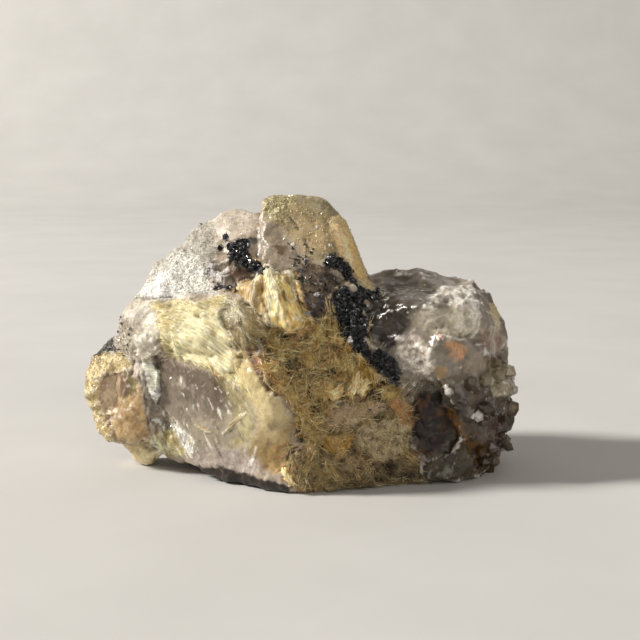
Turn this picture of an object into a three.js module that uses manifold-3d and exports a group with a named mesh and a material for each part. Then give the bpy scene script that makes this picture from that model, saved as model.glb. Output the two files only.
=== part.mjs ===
// A hand specimen of rutilated smoky quartz, lying on its natural underside.
// It grew as one piece, so it is one solid: broken masses of quartz, a clear crystal on top, drusy
// crystals round the right-hand end, crusts of golden rutile and clusters of black hematite plates.
// Units are millimetres. +X runs along the specimen, -Y is its showing face and +Z is up. The origin
// is on the surface that it rests on, below the middle of its bounding box.

import * as THREE from "three";
import { ConvexHull } from "three/addons/math/ConvexHull.js";
import { ImprovedNoise } from "three/addons/math/ImprovedNoise.js";
import { mergeVertices } from "three/addons/utils/BufferGeometryUtils.js";
import Module from "manifold-3d";

// Driving dimensions of the whole specimen.
const LENGTH = 83;
const DEPTH = 50;
const HEIGHT = 52;

// The relief of broken quartz: broad swells, the finer lumps on them, and flat fracture faces.
const SWELL = { depth: 0.9, size: 8.5 };
const LUMPS = { depth: 0.5, size: 3.1 };
const FACETS = { depth: 1.3, size: 6.5 };

// What scatters a lattice cell's place, and the use of its number, into a number of its own.
const SCATTER = { x: 127.1, y: 311.7, z: 74.7, use: 19.19, spread: 43758.5453 };

// The shallowest of a body's flat breaks, as a share of its deepest.
const SHALLOWEST_BREAK = 0.35;

// How ragged the edge of a swelling is: the depth is a share of its radius.
const RAGGED = { depth: 0.35, size: 4 };

// The most that a calm patch takes off the relief, as a share of it.
const CALMEST = 0.85;

// How many times the edges of the starting icosahedron are split, by the size of the piece.
const COARSE = 3;
const MEDIUM = 5;
const FINE = 7;
const FINEST = 12;

// Hematite grows as thin six-sided plates, and quartz as six-sided prisms with a point.
const SIDES = 6;
const PLATE_THICKNESS = 0.7;
const POINT_STEEPNESS = 1.1;

const wasm = await Module();
wasm.setup();
const noise = new ImprovedNoise();

// A repeatable source of numbers from 0 to 1 (mulberry32).
function randomFrom(seed) {
  let state = seed;
  return () => {
    state = (state + 0x6d2b79f5) | 0;
    let t = Math.imul(state ^ (state >>> 15), 1 | state);
    t = (t + Math.imul(t ^ (t >>> 7), 61 | t)) ^ t;
    return ((t ^ (t >>> 14)) >>> 0) / 4294967296;
  };
}

// A direction spread evenly over the sphere.
function randomDirection(random) {
  const z = 2 * random() - 1;
  const turn = 2 * Math.PI * random();
  const flat = Math.sqrt(1 - z * z);
  return new THREE.Vector3(flat * Math.cos(turn), flat * Math.sin(turn), z);
}

// A direction that leans away from another by up to a given share.
function leaning(way, share, random) {
  return way.clone().addScaledVector(randomDirection(random), share).normalize();
}

// A closed three.js geometry as a manifold-3d solid.
function solid(geometry) {
  const bare = geometry.clone();
  bare.deleteAttribute("normal");
  bare.deleteAttribute("uv");
  const merged = mergeVertices(bare, 1e-4);
  return new wasm.Manifold(
    new wasm.Mesh({
      numProp: 3,
      vertProperties: new Float32Array(merged.attributes.position.array),
      triVerts: new Uint32Array(merged.index.array),
    }),
  );
}

// A manifold-3d solid as a three.js geometry.
function geometryOf(body) {
  const mesh = body.getMesh();
  const geometry = new THREE.BufferGeometry();
  geometry.setAttribute("position", new THREE.BufferAttribute(new Float32Array(mesh.vertProperties), 3));
  geometry.setIndex(new THREE.BufferAttribute(new Uint32Array(mesh.triVerts), 1));
  geometry.computeVertexNormals();
  return geometry;
}

function joined(pieces) {
  return pieces.reduce((whole, piece) => whole.add(piece));
}

// The relief of a broken surface at a point, in millimetres, along the way out.
function relief(point, { depth, size }) {
  return depth * noise.noise(point.x / size, point.y / size, point.z / size);
}

// A repeatable number from 0 to 1 for each cell of a lattice, and for each use of it.
function cellNumber(x, y, z, use) {
  const turned = Math.sin(x * SCATTER.x + y * SCATTER.y + z * SCATTER.z + use * SCATTER.use);
  const mixed = turned * SCATTER.spread;
  return mixed - Math.floor(mixed);
}

// Flat fracture faces: space is split into random cells, and each has its own height and slope.
function fracture(point, { depth, size }) {
  const cell = point.clone().divideScalar(size).floor();
  const near = { distance: Infinity, height: 0 };
  for (let i = cell.x - 1; i <= cell.x + 1; i++) {
    for (let j = cell.y - 1; j <= cell.y + 1; j++) {
      for (let k = cell.z - 1; k <= cell.z + 1; k++) {
        const number = (use) => cellNumber(i, j, k, use);
        const seed = new THREE.Vector3(i + number(1), j + number(2), k + number(3)).multiplyScalar(size);
        const distance = seed.distanceTo(point);
        if (distance < near.distance) {
          const slope = new THREE.Vector3(number(4), number(5), number(6)).subScalar(0.5);
          const away = point.clone().sub(seed).divideScalar(size);
          near.distance = distance;
          near.height = number(7) - 0.5 + slope.dot(away);
        }
      }
    }
  }
  return depth * near.height;
}

// How far a swelling (or a hollow, with a push below zero) moves the skin at a point. It runs from
// one place to another, its radius going from the first to the second, and its edge is a ragged ledge
// that falls off over the soft share of the radius.
function push({ from, to = from, radius, out, soft = 0.5 }, point) {
  const start = new THREE.Vector3(...from);
  const run = new THREE.Vector3(...to).sub(start);
  const along = point.clone().sub(start).dot(run) / (run.lengthSq() || 1);
  const share = THREE.MathUtils.clamp(along, 0, 1);
  const [first, last = first] = [radius].flat();
  const reach = THREE.MathUtils.lerp(first, last, share) * (1 + relief(point, RAGGED));
  const distance = start.addScaledVector(run, share).distanceTo(point);
  return out * (1 - THREE.MathUtils.smoothstep(distance / reach, 1 - soft, 1));
}

// A rough skin: an icosahedron, stretched to a size, drawn in to flat planes, pushed in or out by
// swellings and then roughened, except where it is calm.
function skin({ centre, size, planes, swellings = [], calm = [], split, rough }) {
  const geometry = new THREE.IcosahedronGeometry(1, split);
  const places = geometry.attributes.position;
  const point = new THREE.Vector3();
  const out = new THREE.Vector3();
  for (let i = 0; i < places.count; i++) {
    point.fromBufferAttribute(places, i).normalize().multiply(size);
    for (const { way, reach } of planes) {
      const along = way.dot(point);
      if (along > reach) point.multiplyScalar(reach / along);
    }
    out.copy(point).normalize();
    point.add(centre);
    const pushed = swellings.reduce((sum, swelling) => sum + push(swelling, point), 0);
    const stilled = Math.min(CALMEST, calm.reduce((sum, patch) => sum + push(patch, point), 0));
    const texture = relief(point, SWELL) + relief(point, LUMPS) + fracture(point, FACETS);
    point.addScaledVector(out, pushed + rough * (1 - stilled) * texture);
    places.setXYZ(i, point.x, point.y, point.z);
  }
  return solid(geometry);
}

// Flat breaks facing every way, each taking up to a share of the full reach in its direction.
function breaks(count, share, fullReach, random) {
  return Array.from({ length: count }, () => {
    const way = randomDirection(random);
    const depth = share * THREE.MathUtils.lerp(SHALLOWEST_BREAK, 1, random());
    return { way, reach: fullReach(way) * (1 - depth) };
  });
}

// An ellipsoid of quartz, chipped all over.
function lump({ at, radii, chips = 8, chipDepth = 0.15, split = COARSE, rough = 0.5, seed }) {
  const size = new THREE.Vector3(...radii);
  const fullReach = (way) => way.clone().multiply(size).length();
  const planes = breaks(chips, chipDepth, fullReach, randomFrom(seed));
  const centre = new THREE.Vector3(...at);
  return skin({ centre, size, planes, split, rough });
}

// The flat-faced body through some corners, chipped all over, with its swellings and hollows.
function hulk({ corners, swellings, calm, chips = 12, chipDepth = 0.06, split, rough = 1, seed }) {
  const points = corners.map((corner) => new THREE.Vector3(...corner));
  const total = points.reduce((sum, point) => sum.add(point), new THREE.Vector3());
  const centre = total.divideScalar(points.length);
  const faces = new ConvexHull().setFromPoints(points).faces;
  const planes = faces.map(({ normal, constant }) => ({
    way: normal.clone(),
    reach: constant - normal.dot(centre),
  }));
  const fullReach = (way) => Math.max(...points.map((point) => way.dot(point) - way.dot(centre)));
  planes.push(...breaks(chips, chipDepth, fullReach, randomFrom(seed)));
  const size = new THREE.Vector3(LENGTH, LENGTH, LENGTH);
  return skin({ centre, size, planes, swellings, calm, split, rough });
}

// A six-sided body of revolution that stands at a place and grows one way.
function sixSided(profile, at, way, twist) {
  const outline = profile.map(([radius, height]) => new THREE.Vector2(radius, height));
  const geometry = new THREE.LatheGeometry(outline, SIDES, twist);
  const grow = new THREE.Quaternion().setFromUnitVectors(new THREE.Vector3(0, 1, 0), way);
  geometry.applyQuaternion(grow);
  geometry.translate(at.x, at.y, at.z);
  return solid(geometry);
}

// A quartz crystal, rooted as deep as it is wide.
function crystal({ at, way, radius, length, twist = 0 }) {
  const shoulder = Math.max(0.2 * length, length - POINT_STEEPNESS * radius);
  const profile = [
    [0, -radius],
    [radius, -radius],
    [0.95 * radius, shoulder],
    [0, length],
  ];
  return sixSided(profile, at, way, twist);
}

// A hematite plate, half sunk in what it grows on.
function plate({ at, way, radius, twist = 0 }) {
  const half = PLATE_THICKNESS / 2;
  const profile = [
    [0, -half],
    [radius, -half],
    [radius, half],
    [0, half],
  ];
  return sixSided(profile, at, way, twist);
}

// The corner that juts out at the left: a rim round a sunken window.
const leftCorner = hulk({
  corners: [
    [-41.6, 0, 16],
    [-40.2, 2, 20.6],
    [-36.8, 2, 25.2],
    [-30, -3, 24],
    [-28, -8, 20],
    [-27.5, -7, 5],
    [-36.5, -3.5, 5],
    [-39.7, -1, 7.4],
    [-37, 8, 21],
    [-37, 8, 8],
    [-22, 15, 24],
    [-22, 15, 4],
    [-29, 5, 27],
  ],
  swellings: [
    { from: [-37.3, -4, 19], to: [-36.3, -4, 12], radius: 2.6, out: -2.2, soft: 0.4 },
    { from: [-32.5, -6, 11], to: [-31, -6, 8], radius: 3.6, out: 0.8, soft: 0.6 },
  ],
  split: MEDIUM,
  rough: 0.5,
  seed: 21,
});
const leftFoot = hulk({
  corners: [
    [-31.5, 1.5, -1],
    [-28.4, 1.5, -1],
    [-28.2, 7, -1],
    [-32.5, 7, -1],
    [-33.8, -1, 3],
    [-29.8, -2, 1.3],
    [-27.8, -2.4, 2],
    [-26.9, -2.8, 4],
    [-36, -1.5, 6],
    [-36, 5, 6],
    [-35, -2, 10],
    [-27, -3, 10],
    [-27, 6, 10],
    [-35, 5, 10],
  ],
  chips: 3,
  split: COARSE,
  rough: 0.25,
  seed: 22,
});
const leftShoulder = lump({ at: [-29, -0.5, 27], radii: [5.4, 5.8, 6.5], chips: 10, rough: 0.4, seed: 23 });

// The main mass: a rounded dome over a showing face whose waxy ridge runs down to the front foot.
const mainMass = hulk({
  corners: [
    [0.6, -20.5, -1],
    [-2, -19, 12],
    [-6, -17, 22],
    [-9.5, -13, 33],
    [-11, -14.5, 1.8],
    [-20.5, -9, 2.3],
    [-27, -4, 3.6],
    [-29, -5, 15],
    [-31.5, -4, 25],
    [-33, 0, 31.5],
    [-28.3, 3, 39.6],
    [-22, 5, 45.6],
    [-15, 6, 48.6],
    [-7.5, 7, 49],
    [5, -9, 33.5],
    [11, -3, 39],
    [5, 8, 46],
    [16, -11, 18.5],
    [18, -11, -1],
    [9.5, -16, -1],
    [-30, 12, 28],
    [-20, 19, 14],
    [-6, 22, 36],
    [12, 22, 30],
    [22, 19, 8],
    [-24, 15, -1],
    [0, 21, -1],
    [-12, 15, 46],
    [10, 14, 43],
  ],
  swellings: [
    { from: [-27, -5, 29], to: [-11, -12.5, 31], radius: [5, 7], out: 2, soft: 0.3 },
    { from: [-9.5, -14, 33], to: [-4.5, -18, 18], radius: [4, 5], out: 2, soft: 0.35 },
    { from: [-7, -17, 18], to: [-4, -19, 5], radius: [6, 6.5], out: 1.8, soft: 0.35 },
    { from: [-18, -10, 20], to: [-16, -11, 8], radius: [7, 8], out: 0.9, soft: 0.9 },
    { from: [-1, -15, 30], to: [12, -12, 21], radius: [6, 7], out: 1.4, soft: 0.6 },
    { from: [4, -17, 8], to: [14, -14, 6], radius: [6, 8], out: 2.6, soft: 0.5 },
    { from: [-33, -2, 32], to: [-27, -5, 33.5], radius: 1.6, out: -1, soft: 0.8 },
    { from: [-28, -6, 23], to: [-26.5, -7, 7], radius: 2.6, out: -1.2, soft: 0.8 },
    { from: [-9, 1, -1], to: [8, 3, -1], radius: [10, 10], out: -3.4, soft: 0.7 },
    { from: [-20, 16, 20], to: [4, 22, 27], radius: [9, 8], out: 2.2, soft: 0.22 },
    { from: [10, 20, 10], radius: 8, out: 2.2, soft: 0.2 },
    { from: [-8, 20, 7], radius: 7, out: -2.2, soft: 0.5 },
    { from: [2, 18, 40], radius: 7, out: 1.6, soft: 0.3 },
    { from: [-24, 12, 34], to: [-16, 14, 40], radius: [6, 5], out: 1.4, soft: 0.3 },
  ],
  calm: [
    { from: [-20, -9, 20], to: [-17, -11, 8], radius: [8, 9], out: 1 },
    { from: [-8, -15, 27], to: [-5, -19, 6], radius: [6, 7], out: 0.8 },
    { from: [6, 20, 26], radius: 9, out: 0.8, soft: 0.2 },
  ],
  chips: 14,
  split: FINEST,
  seed: 24,
});

// The smoky mass at the right: knuckles of glassy quartz above, a deep cavity and drusy faces below.
const rightMass = hulk({
  corners: [
    [12, 3, 37],
    [24.6, 4, 37.3],
    [32, 3, 36.2],
    [36, 2, 33.2],
    [38, 1, 29],
    [17, -8, 34],
    [24, -11, 33],
    [31, -9, 31],
    [36, -4, 28],
    [10, -10, 28],
    [28, -13, 24],
    [14, 14, 35],
    [26, 16, 33],
    [34, 13, 30],
    [10, 20, 20],
    [24, -13, 22],
    [34.5, -10, 20],
    [39, -3, 18],
    [39.8, 1, 13],
    [40, 0, 7],
    [39, 1, 1],
    [36, -6, -1],
    [31, -12, -1],
    [24.5, -14.5, -1],
    [14, -13, -1],
    [14, -14, 9],
    [39.5, 8, 6],
    [36, 15, 14],
    [28, 19, 6],
    [20, 19, -1],
  ],
  swellings: [
    { from: [23.6, -14, 15], to: [24, -14, 7.5], radius: [4.2, 4.4], out: -4.2, soft: 0.4 },
    { from: [32, -12, 20.5], to: [39, -3, 21.5], radius: 3, out: -1.4, soft: 0.9 },
    { from: [20, -9, 33], to: [30, -9, 32.5], radius: [3.5, 4.5], out: 1.3, soft: 0.5 },
    { from: [34.5, -6, 29], radius: 4, out: 1.2, soft: 0.5 },
    { from: [18, -10.5, 27], radius: 3.4, out: 1.3, soft: 0.5 },
    { from: [23, -13, 24.5], to: [28, -13, 26.5], radius: 3, out: 1.2, soft: 0.45 },
    { from: [33.5, -10, 24.5], radius: 3, out: 1, soft: 0.5 },
    { from: [31, -12, 15], to: [31, -12, 10], radius: 3, out: 1, soft: 0.4 },
    { from: [26, -14, 2], to: [33, -10, 3], radius: [4, 3.4], out: 1, soft: 0.4 },
    { from: [37.5, -4, 9], radius: 3.4, out: 0.8, soft: 0.5 },
    { from: [20, 3, 37], to: [29, 6, 36], radius: 4.5, out: 0.7, soft: 0.6 },
    { from: [26, 16, 27], radius: 7, out: 1.6, soft: 0.25 },
    { from: [30, 17, 10], radius: 6, out: 1.4, soft: 0.3 },
    { from: [17, 20, 16], radius: 4, out: -2.4, soft: 0.7 },
    { from: [26, 1, -1], to: [30, 6, -1], radius: 8, out: -3, soft: 0.7 },
  ],
  chips: 16,
  split: FINE,
  seed: 25,
});

// The clear crystal on top: one broken side wall on the left, and a face that leans back to its
// top edge.
const topCrystal = hulk({
  corners: [
    [-7.4, 1, 52.4],
    [-7.8, -5.5, 42],
    [4, 1, 52],
    [8.8, 0, 47],
    [11, -1, 41.6],
    [13.3, -2, 35.5],
    [4, -9, 36],
    [-6, 12, 51.5],
    [4, 14, 49.5],
    [9, 13, 45],
    [13, 11, 36],
    [-7, 12, 38],
    [-6, -6, 36],
  ],
  swellings: [{ from: [-6, -3, 46], to: [2, -6, 40], radius: [1.2, 1.6], out: -0.7, soft: 0.9 }],
  chips: 4,
  chipDepth: 0.03,
  split: MEDIUM,
  rough: 0.16,
  seed: 28,
});

// The bigger crystals, part buried, that lean out of the back.
const direction = (x, y, z) => new THREE.Vector3(x, y, z).normalize();
const place = (x, y, z) => new THREE.Vector3(x, y, z);
const backCrystals = [
  { at: place(-4, 6.5, 10), way: direction(-0.35, 0.55, 0.76), radius: 9, length: 30, twist: 0.3 },
  { at: place(9, 10, 10), way: direction(0.3, 0.7, 0.45), radius: 7, length: 18, twist: 0.5 },
  { at: place(24, 8, 14), way: direction(0.35, 0.45, 0.6), radius: 7, length: 21, twist: 0.1 },
  { at: place(-24, 10, 8.5), way: direction(-0.6, 0.6, 0.25), radius: 4.8, length: 12, twist: 0.8 },
].map(crystal);

// The golden crust: a ragged plate of felted rutile, curled out from the showing face at its top.
// Its outline is [across, up] about its middle. The flare carries its full width nearer the front.
const CRUST = { thickness: 2.4, lean: 0.5, curl: 0.03, squareness: 6, flare: 1.15 };
const CRUST_FOLDS = { depth: 0.9, size: 2.6 };
const crustMiddle = [-4.7, -14.2, 34];
const crustOutline = [
  [-7.6, 2.1],
  [-6.4, 3],
  [-3.7, 3.4],
  [-2.1, 5.5],
  [-0.5, 6],
  [0.7, 4.6],
  [3.1, 4.9],
  [3.4, 2.8],
  [4.3, -0.9],
  [6.1, -2.4],
  [5.2, -5.1],
  [2.4, -5.5],
  [-0.8, -4.1],
  [-3.6, -1.2],
  [-6.1, 1.3],
];

// How far the outline is from the middle of the crust, in one direction across it.
function crustReach(across, up) {
  const way = new THREE.Vector2(across, up).normalize();
  for (let i = 0; i < crustOutline.length; i++) {
    const start = new THREE.Vector2(...crustOutline[i]);
    const side = new THREE.Vector2(...crustOutline[(i + 1) % crustOutline.length]).sub(start);
    const turned = way.cross(side);
    const reach = start.cross(side) / turned;
    const share = start.cross(way) / turned;
    if (turned !== 0 && reach > 0 && share >= 0 && share <= 1) return reach;
  }
  return 0;
}

function crustPlate() {
  const geometry = new THREE.IcosahedronGeometry(1, MEDIUM);
  const places = geometry.attributes.position;
  const point = new THREE.Vector3();
  for (let i = 0; i < places.count; i++) {
    point.fromBufferAttribute(places, i).normalize();
    const width = Math.hypot(point.x, point.z);
    const flat = Math.min(1, CRUST.flare * width);
    const reach = width > 0 ? (crustReach(point.x, point.z) * flat) / width : 0;
    const thickness = CRUST.thickness * Math.sign(point.y) * (1 - flat ** CRUST.squareness);
    point.set(point.x * reach, thickness, point.z * reach);
    point.y += relief(point, CRUST_FOLDS) - CRUST.curl * Math.max(0, point.z) ** 2;
    places.setXYZ(i, point.x, point.y, point.z);
  }
  geometry.rotateX(-CRUST.lean);
  geometry.translate(...crustMiddle);
  return solid(geometry);
}

const rock = joined([
  leftCorner,
  leftFoot,
  leftShoulder,
  mainMass,
  rightMass,
  topCrystal,
  crustPlate(),
  ...backCrystals,
]);

// Where a line into the rock first meets it, and the way that its skin faces there.
const caster = new THREE.Raycaster();
const rockMesh = new THREE.Mesh(geometryOf(rock), new THREE.MeshBasicMaterial());
function meet(from, way) {
  caster.set(new THREE.Vector3(...from), new THREE.Vector3(...way).normalize());
  const [hit] = caster.intersectObject(rockMesh);
  if (!hit) throw new Error("no rock at " + from);
  return { point: hit.point, normal: hit.face.normal.clone() };
}

const FRONT = -2 * DEPTH;

// Clusters of hematite plates on the showing face: [x, z, spread, plates, largest radius].
const hematitePatches = [
  [5.5, 39, 1.8, 4, 1.6],
  [8.5, 34.5, 2.2, 5, 2.1],
  [11, 30, 2.4, 6, 2.3],
  [13, 25.5, 2.4, 5, 2.2],
  [16, 21.5, 2, 4, 2],
  [14.5, 34, 1.4, 2, 1.5],
  [-13, 39.5, 2.4, 5, 1.7],
  [-15, 35.5, 2.2, 2, 1.5],
];
const random = randomFrom(81);
const hematite = hematitePatches.flatMap(([x, z, spread, count, radius]) =>
  Array.from({ length: count }, () => {
    const across = x + spread * (2 * random() - 1);
    const up = z + spread * (2 * random() - 1);
    const { point, normal } = meet([across, FRONT, up], [0, 1, 0]);
    return plate({
      at: point,
      way: leaning(normal, 1.1, random),
      radius: radius * (0.5 + 0.5 * random()),
      twist: Math.PI * random(),
    });
  }),
);

// Drusy crystals: [where the line in starts, where it aims, crystals, spread, radius, length].
const druses = [
  { from: [100, -30, 12], to: [30, 0, 12], count: 6, spread: 9, radius: 1.9, length: 2.4 },
  { from: [100, 60, 14], to: [26, 6, 14], count: 5, spread: 10, radius: 2.2, length: 2.8 },
  { from: [30, -90, 14], to: [31, 0, 13], count: 4, spread: 5, radius: 1.7, length: 2.2 },
  { from: [-14, 90, 17], to: [-11, 0, 17], count: 4, spread: 6, radius: 2, length: 3 },
];
const grow = randomFrom(91);
const drusy = druses.flatMap(({ from, to, count, spread, radius, length }) =>
  Array.from({ length: count }, () => {
    const shift = randomDirection(grow).multiplyScalar(spread * Math.sqrt(grow()));
    const start = new THREE.Vector3(...from).add(shift);
    const way = new THREE.Vector3(...to).add(shift).sub(start);
    const { point, normal } = meet(start.toArray(), way.toArray());
    const scale = 0.6 + 0.4 * grow();
    return crystal({
      at: point,
      way: leaning(normal, 0.5, grow),
      radius: radius * scale,
      length: length * scale,
      twist: Math.PI * grow(),
    });
  }),
);

// The crystals that stand out from the right-hand end.
const standing = [
  { at: place(36, -3.5, 16.5), way: direction(0.85, -0.15, 0.42), radius: 2.3, length: 4.9, twist: 0.4 },
  { at: place(36, -4.5, 15), way: direction(0.75, -0.5, -0.1), radius: 1.9, length: 3.6, twist: 0.9 },
  { at: place(37.8, 1, 10), way: direction(0.95, -0.2, 0.1), radius: 2, length: 2.9, twist: 0.2 },
  { at: place(37.8, 0, 5), way: direction(0.9, -0.3, 0.2), radius: 1.9, length: 2.6, twist: 0.7 },
  { at: place(36.3, 1, 24.5), way: direction(0.9, -0.2, 0.3), radius: 1.8, length: 2.6, twist: 0.5 },
  { at: place(34.5, 0, 30.5), way: direction(0.8, -0.1, 0.6), radius: 1.7, length: 2.6, twist: 0.1 },
].map(crystal);

// A slab below the surface that the specimen rests on: it takes the underside off flat.
const slab = new THREE.BoxGeometry(2 * LENGTH, 2 * DEPTH, HEIGHT);
slab.translate(0, 0, -HEIGHT / 2);
const specimen = joined([rock, ...hematite, ...drusy, ...standing]).subtract(solid(slab));

const quartz = new THREE.Mesh(
  geometryOf(specimen),
  new THREE.MeshStandardMaterial({ color: 0xb9a98c, roughness: 0.45, metalness: 0 }),
);
quartz.name = "rutilated_quartz";

// The origin goes below the middle of the bounding box.
const box = new THREE.Box3().setFromObject(quartz);
const middle = box.getCenter(new THREE.Vector3());
quartz.position.set(-middle.x, -middle.y, 0);

const group = new THREE.Group();
group.add(quartz);

export default group;
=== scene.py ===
"""The looks of a rutilated smoky quartz specimen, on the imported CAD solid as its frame.

Places and sizes are in millimetres until they go into a mesh, which is in metres. The outlines and
strokes of the showing face are drawn in the pixels of a 640-pixel picture taken from the front. Tables
are written as rows of words, and `rows` cuts them up.
"""

import math

import bmesh
import bpy
import numpy as np
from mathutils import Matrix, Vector
from mathutils.bvhtree import BVHTree


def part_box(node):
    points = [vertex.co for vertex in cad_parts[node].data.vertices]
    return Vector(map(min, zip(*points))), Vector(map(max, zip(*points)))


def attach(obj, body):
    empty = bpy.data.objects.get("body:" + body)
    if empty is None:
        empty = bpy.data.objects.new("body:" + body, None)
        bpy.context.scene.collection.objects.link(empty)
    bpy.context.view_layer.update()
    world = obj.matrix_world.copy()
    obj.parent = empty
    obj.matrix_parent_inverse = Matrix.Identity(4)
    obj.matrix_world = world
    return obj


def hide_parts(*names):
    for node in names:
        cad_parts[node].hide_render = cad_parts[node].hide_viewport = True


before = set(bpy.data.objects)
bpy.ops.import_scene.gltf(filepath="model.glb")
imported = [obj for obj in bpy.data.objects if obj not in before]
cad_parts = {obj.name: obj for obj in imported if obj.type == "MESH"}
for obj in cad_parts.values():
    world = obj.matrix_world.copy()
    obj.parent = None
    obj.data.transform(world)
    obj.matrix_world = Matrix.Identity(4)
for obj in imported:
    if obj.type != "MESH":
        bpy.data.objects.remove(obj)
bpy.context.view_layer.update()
scene = bpy.context.scene
NODE = "rutilated_quartz"
MM = 0.001

# ------------------------------------------------------------------ the camera
# From the middle of the laid-out masses to the origin of the CAD.
SHIFT = np.array([-0.213, -1.737, 0.0])
AIM = np.array([3.6, 0.0, 28.57]) + SHIFT
ELEVATION = math.radians(8.0)
DISTANCE = 243.0
PICTURE = 640.0
LENS, SENSOR = 72.0, 36.0
FOCAL = PICTURE * LENS / SENSOR

AHEAD = np.array([0.0, math.cos(ELEVATION), -math.sin(ELEVATION)])
UPWARD = np.array([0.0, math.sin(ELEVATION), math.cos(ELEVATION)])
ACROSS = np.array([1.0, 0.0, 0.0])
EYE = AIM - DISTANCE * AHEAD

camera_data = bpy.data.cameras.new("camera")
camera_data.lens = LENS
camera_data.sensor_width = SENSOR
camera_data.clip_start = 0.01
camera = bpy.data.objects.new("camera", camera_data)
scene.collection.objects.link(camera)
camera.location = Vector(EYE * MM)
camera.rotation_euler = (math.pi / 2 - ELEVATION, 0.0, 0.0)
scene.camera = camera


def in_picture(points):
    """Where places fall in the front picture: pixels across and down."""
    away = points - EYE
    depth = away @ AHEAD
    return PICTURE / 2 + FOCAL * (away @ ACROSS) / depth, PICTURE / 2 - FOCAL * (away @ UPWARD) / depth


def sight(u, v):
    """The way from the eye to a place in the front picture."""
    way = AHEAD + (u - PICTURE / 2) / FOCAL * ACROSS + (PICTURE / 2 - v) / FOCAL * UPWARD
    return way / np.linalg.norm(way)


# ------------------------------------------------------------------ noise
def hashed(ix, iy, iz, use):
    """A repeatable number from 0 to 1 for each cell of a lattice, and for each use of it."""
    mixed = ix.astype(np.int64) * 374761393 + iy.astype(np.int64) * 668265263
    mixed = (mixed + iz.astype(np.int64) * 1274126177 + use * 362437) & 0xFFFFFFFF
    mixed = ((mixed ^ (mixed >> 13)) * 1274126177) & 0xFFFFFFFF
    mixed = ((mixed ^ (mixed >> 15)) * 2246822519) & 0xFFFFFFFF
    return ((mixed ^ (mixed >> 16)) & 0xFFFFFF) / float(0x1000000)


def noise(p, size, seed=0):
    """Smooth noise from -1 to 1."""
    q = p / size + 100.0
    cell = np.floor(q)
    f = q - cell
    f = f * f * (3 - 2 * f)
    total = np.zeros(len(p))
    for i in (0, 1):
        for j in (0, 1):
            for k in (0, 1):
                weight = np.abs(1 - i - f[:, 0]) * np.abs(1 - j - f[:, 1]) * np.abs(1 - k - f[:, 2])
                total += weight * hashed(cell[:, 0] + i, cell[:, 1] + j, cell[:, 2] + k, seed)
    return 2 * total - 1


def layered(p, size, layers=3, seed=0, keep=0.55):
    """Noise with finer layers on it, each half the size, with a share of the depth kept."""
    total, depth = np.zeros(len(p)), 0.0
    for layer in range(layers):
        total += keep**layer * noise(p, size / 2**layer, seed + 17 * layer)
        depth += keep**layer
    return 1.6 * total / depth


def chipped(p, size, seed=0, slope=1.5, bowl=1.3):
    """A broken face, about -1 to 1: scoops, each tilted its own way, that meet in sharp ridges."""
    bend = np.stack([noise(p, 0.8 * size, seed + 50 + n) for n in range(3)], 1)
    q = p / size + 100.0 + 0.3 * bend
    base = np.floor(q)
    low = np.full(len(p), 9.0)
    for i in (-1, 0, 1):
        for j in (-1, 0, 1):
            for k in (-1, 0, 1):
                c = base + (i, j, k)
                own = np.stack([hashed(*c.T, seed + n) for n in range(6)], 1)
                gap = q - c - own[:, :3]
                tilted = 0.5 * own[:, 0] + slope * ((own[:, 3:] - 0.5) * gap).sum(1)
                low = np.minimum(low, tilted + bowl * (gap * gap).sum(1))
    return np.minimum(1.8 * (low - 0.5), 1.3)


def smooth(low, high, value):
    t = np.clip((value - low) / (high - low), 0, 1)
    return t * t * (3 - 2 * t)


def unit(v):
    return v / np.maximum(np.linalg.norm(v, axis=-1, keepdims=True), 1e-9)


def linear(r, g, b):
    """A colour as the eye reads it, 0 to 255, as linear light."""
    c = np.array([r, g, b], float) / 255.0
    return np.where(c <= 0.04045, c / 12.92, ((c + 0.055) / 1.055) ** 2.4)


# ------------------------------------------------------------------ the showing face, drawn
def rows(table):
    """The rows of a table, cut into words. A row that is indented carries on the one above it."""
    return [row.split() for row in table.strip().replace("\n ", " ").split("\n")]


def numbers(word):
    """A place of the picture or a colour, written with commas."""
    return tuple(int(n) for n in word.split(","))


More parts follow.
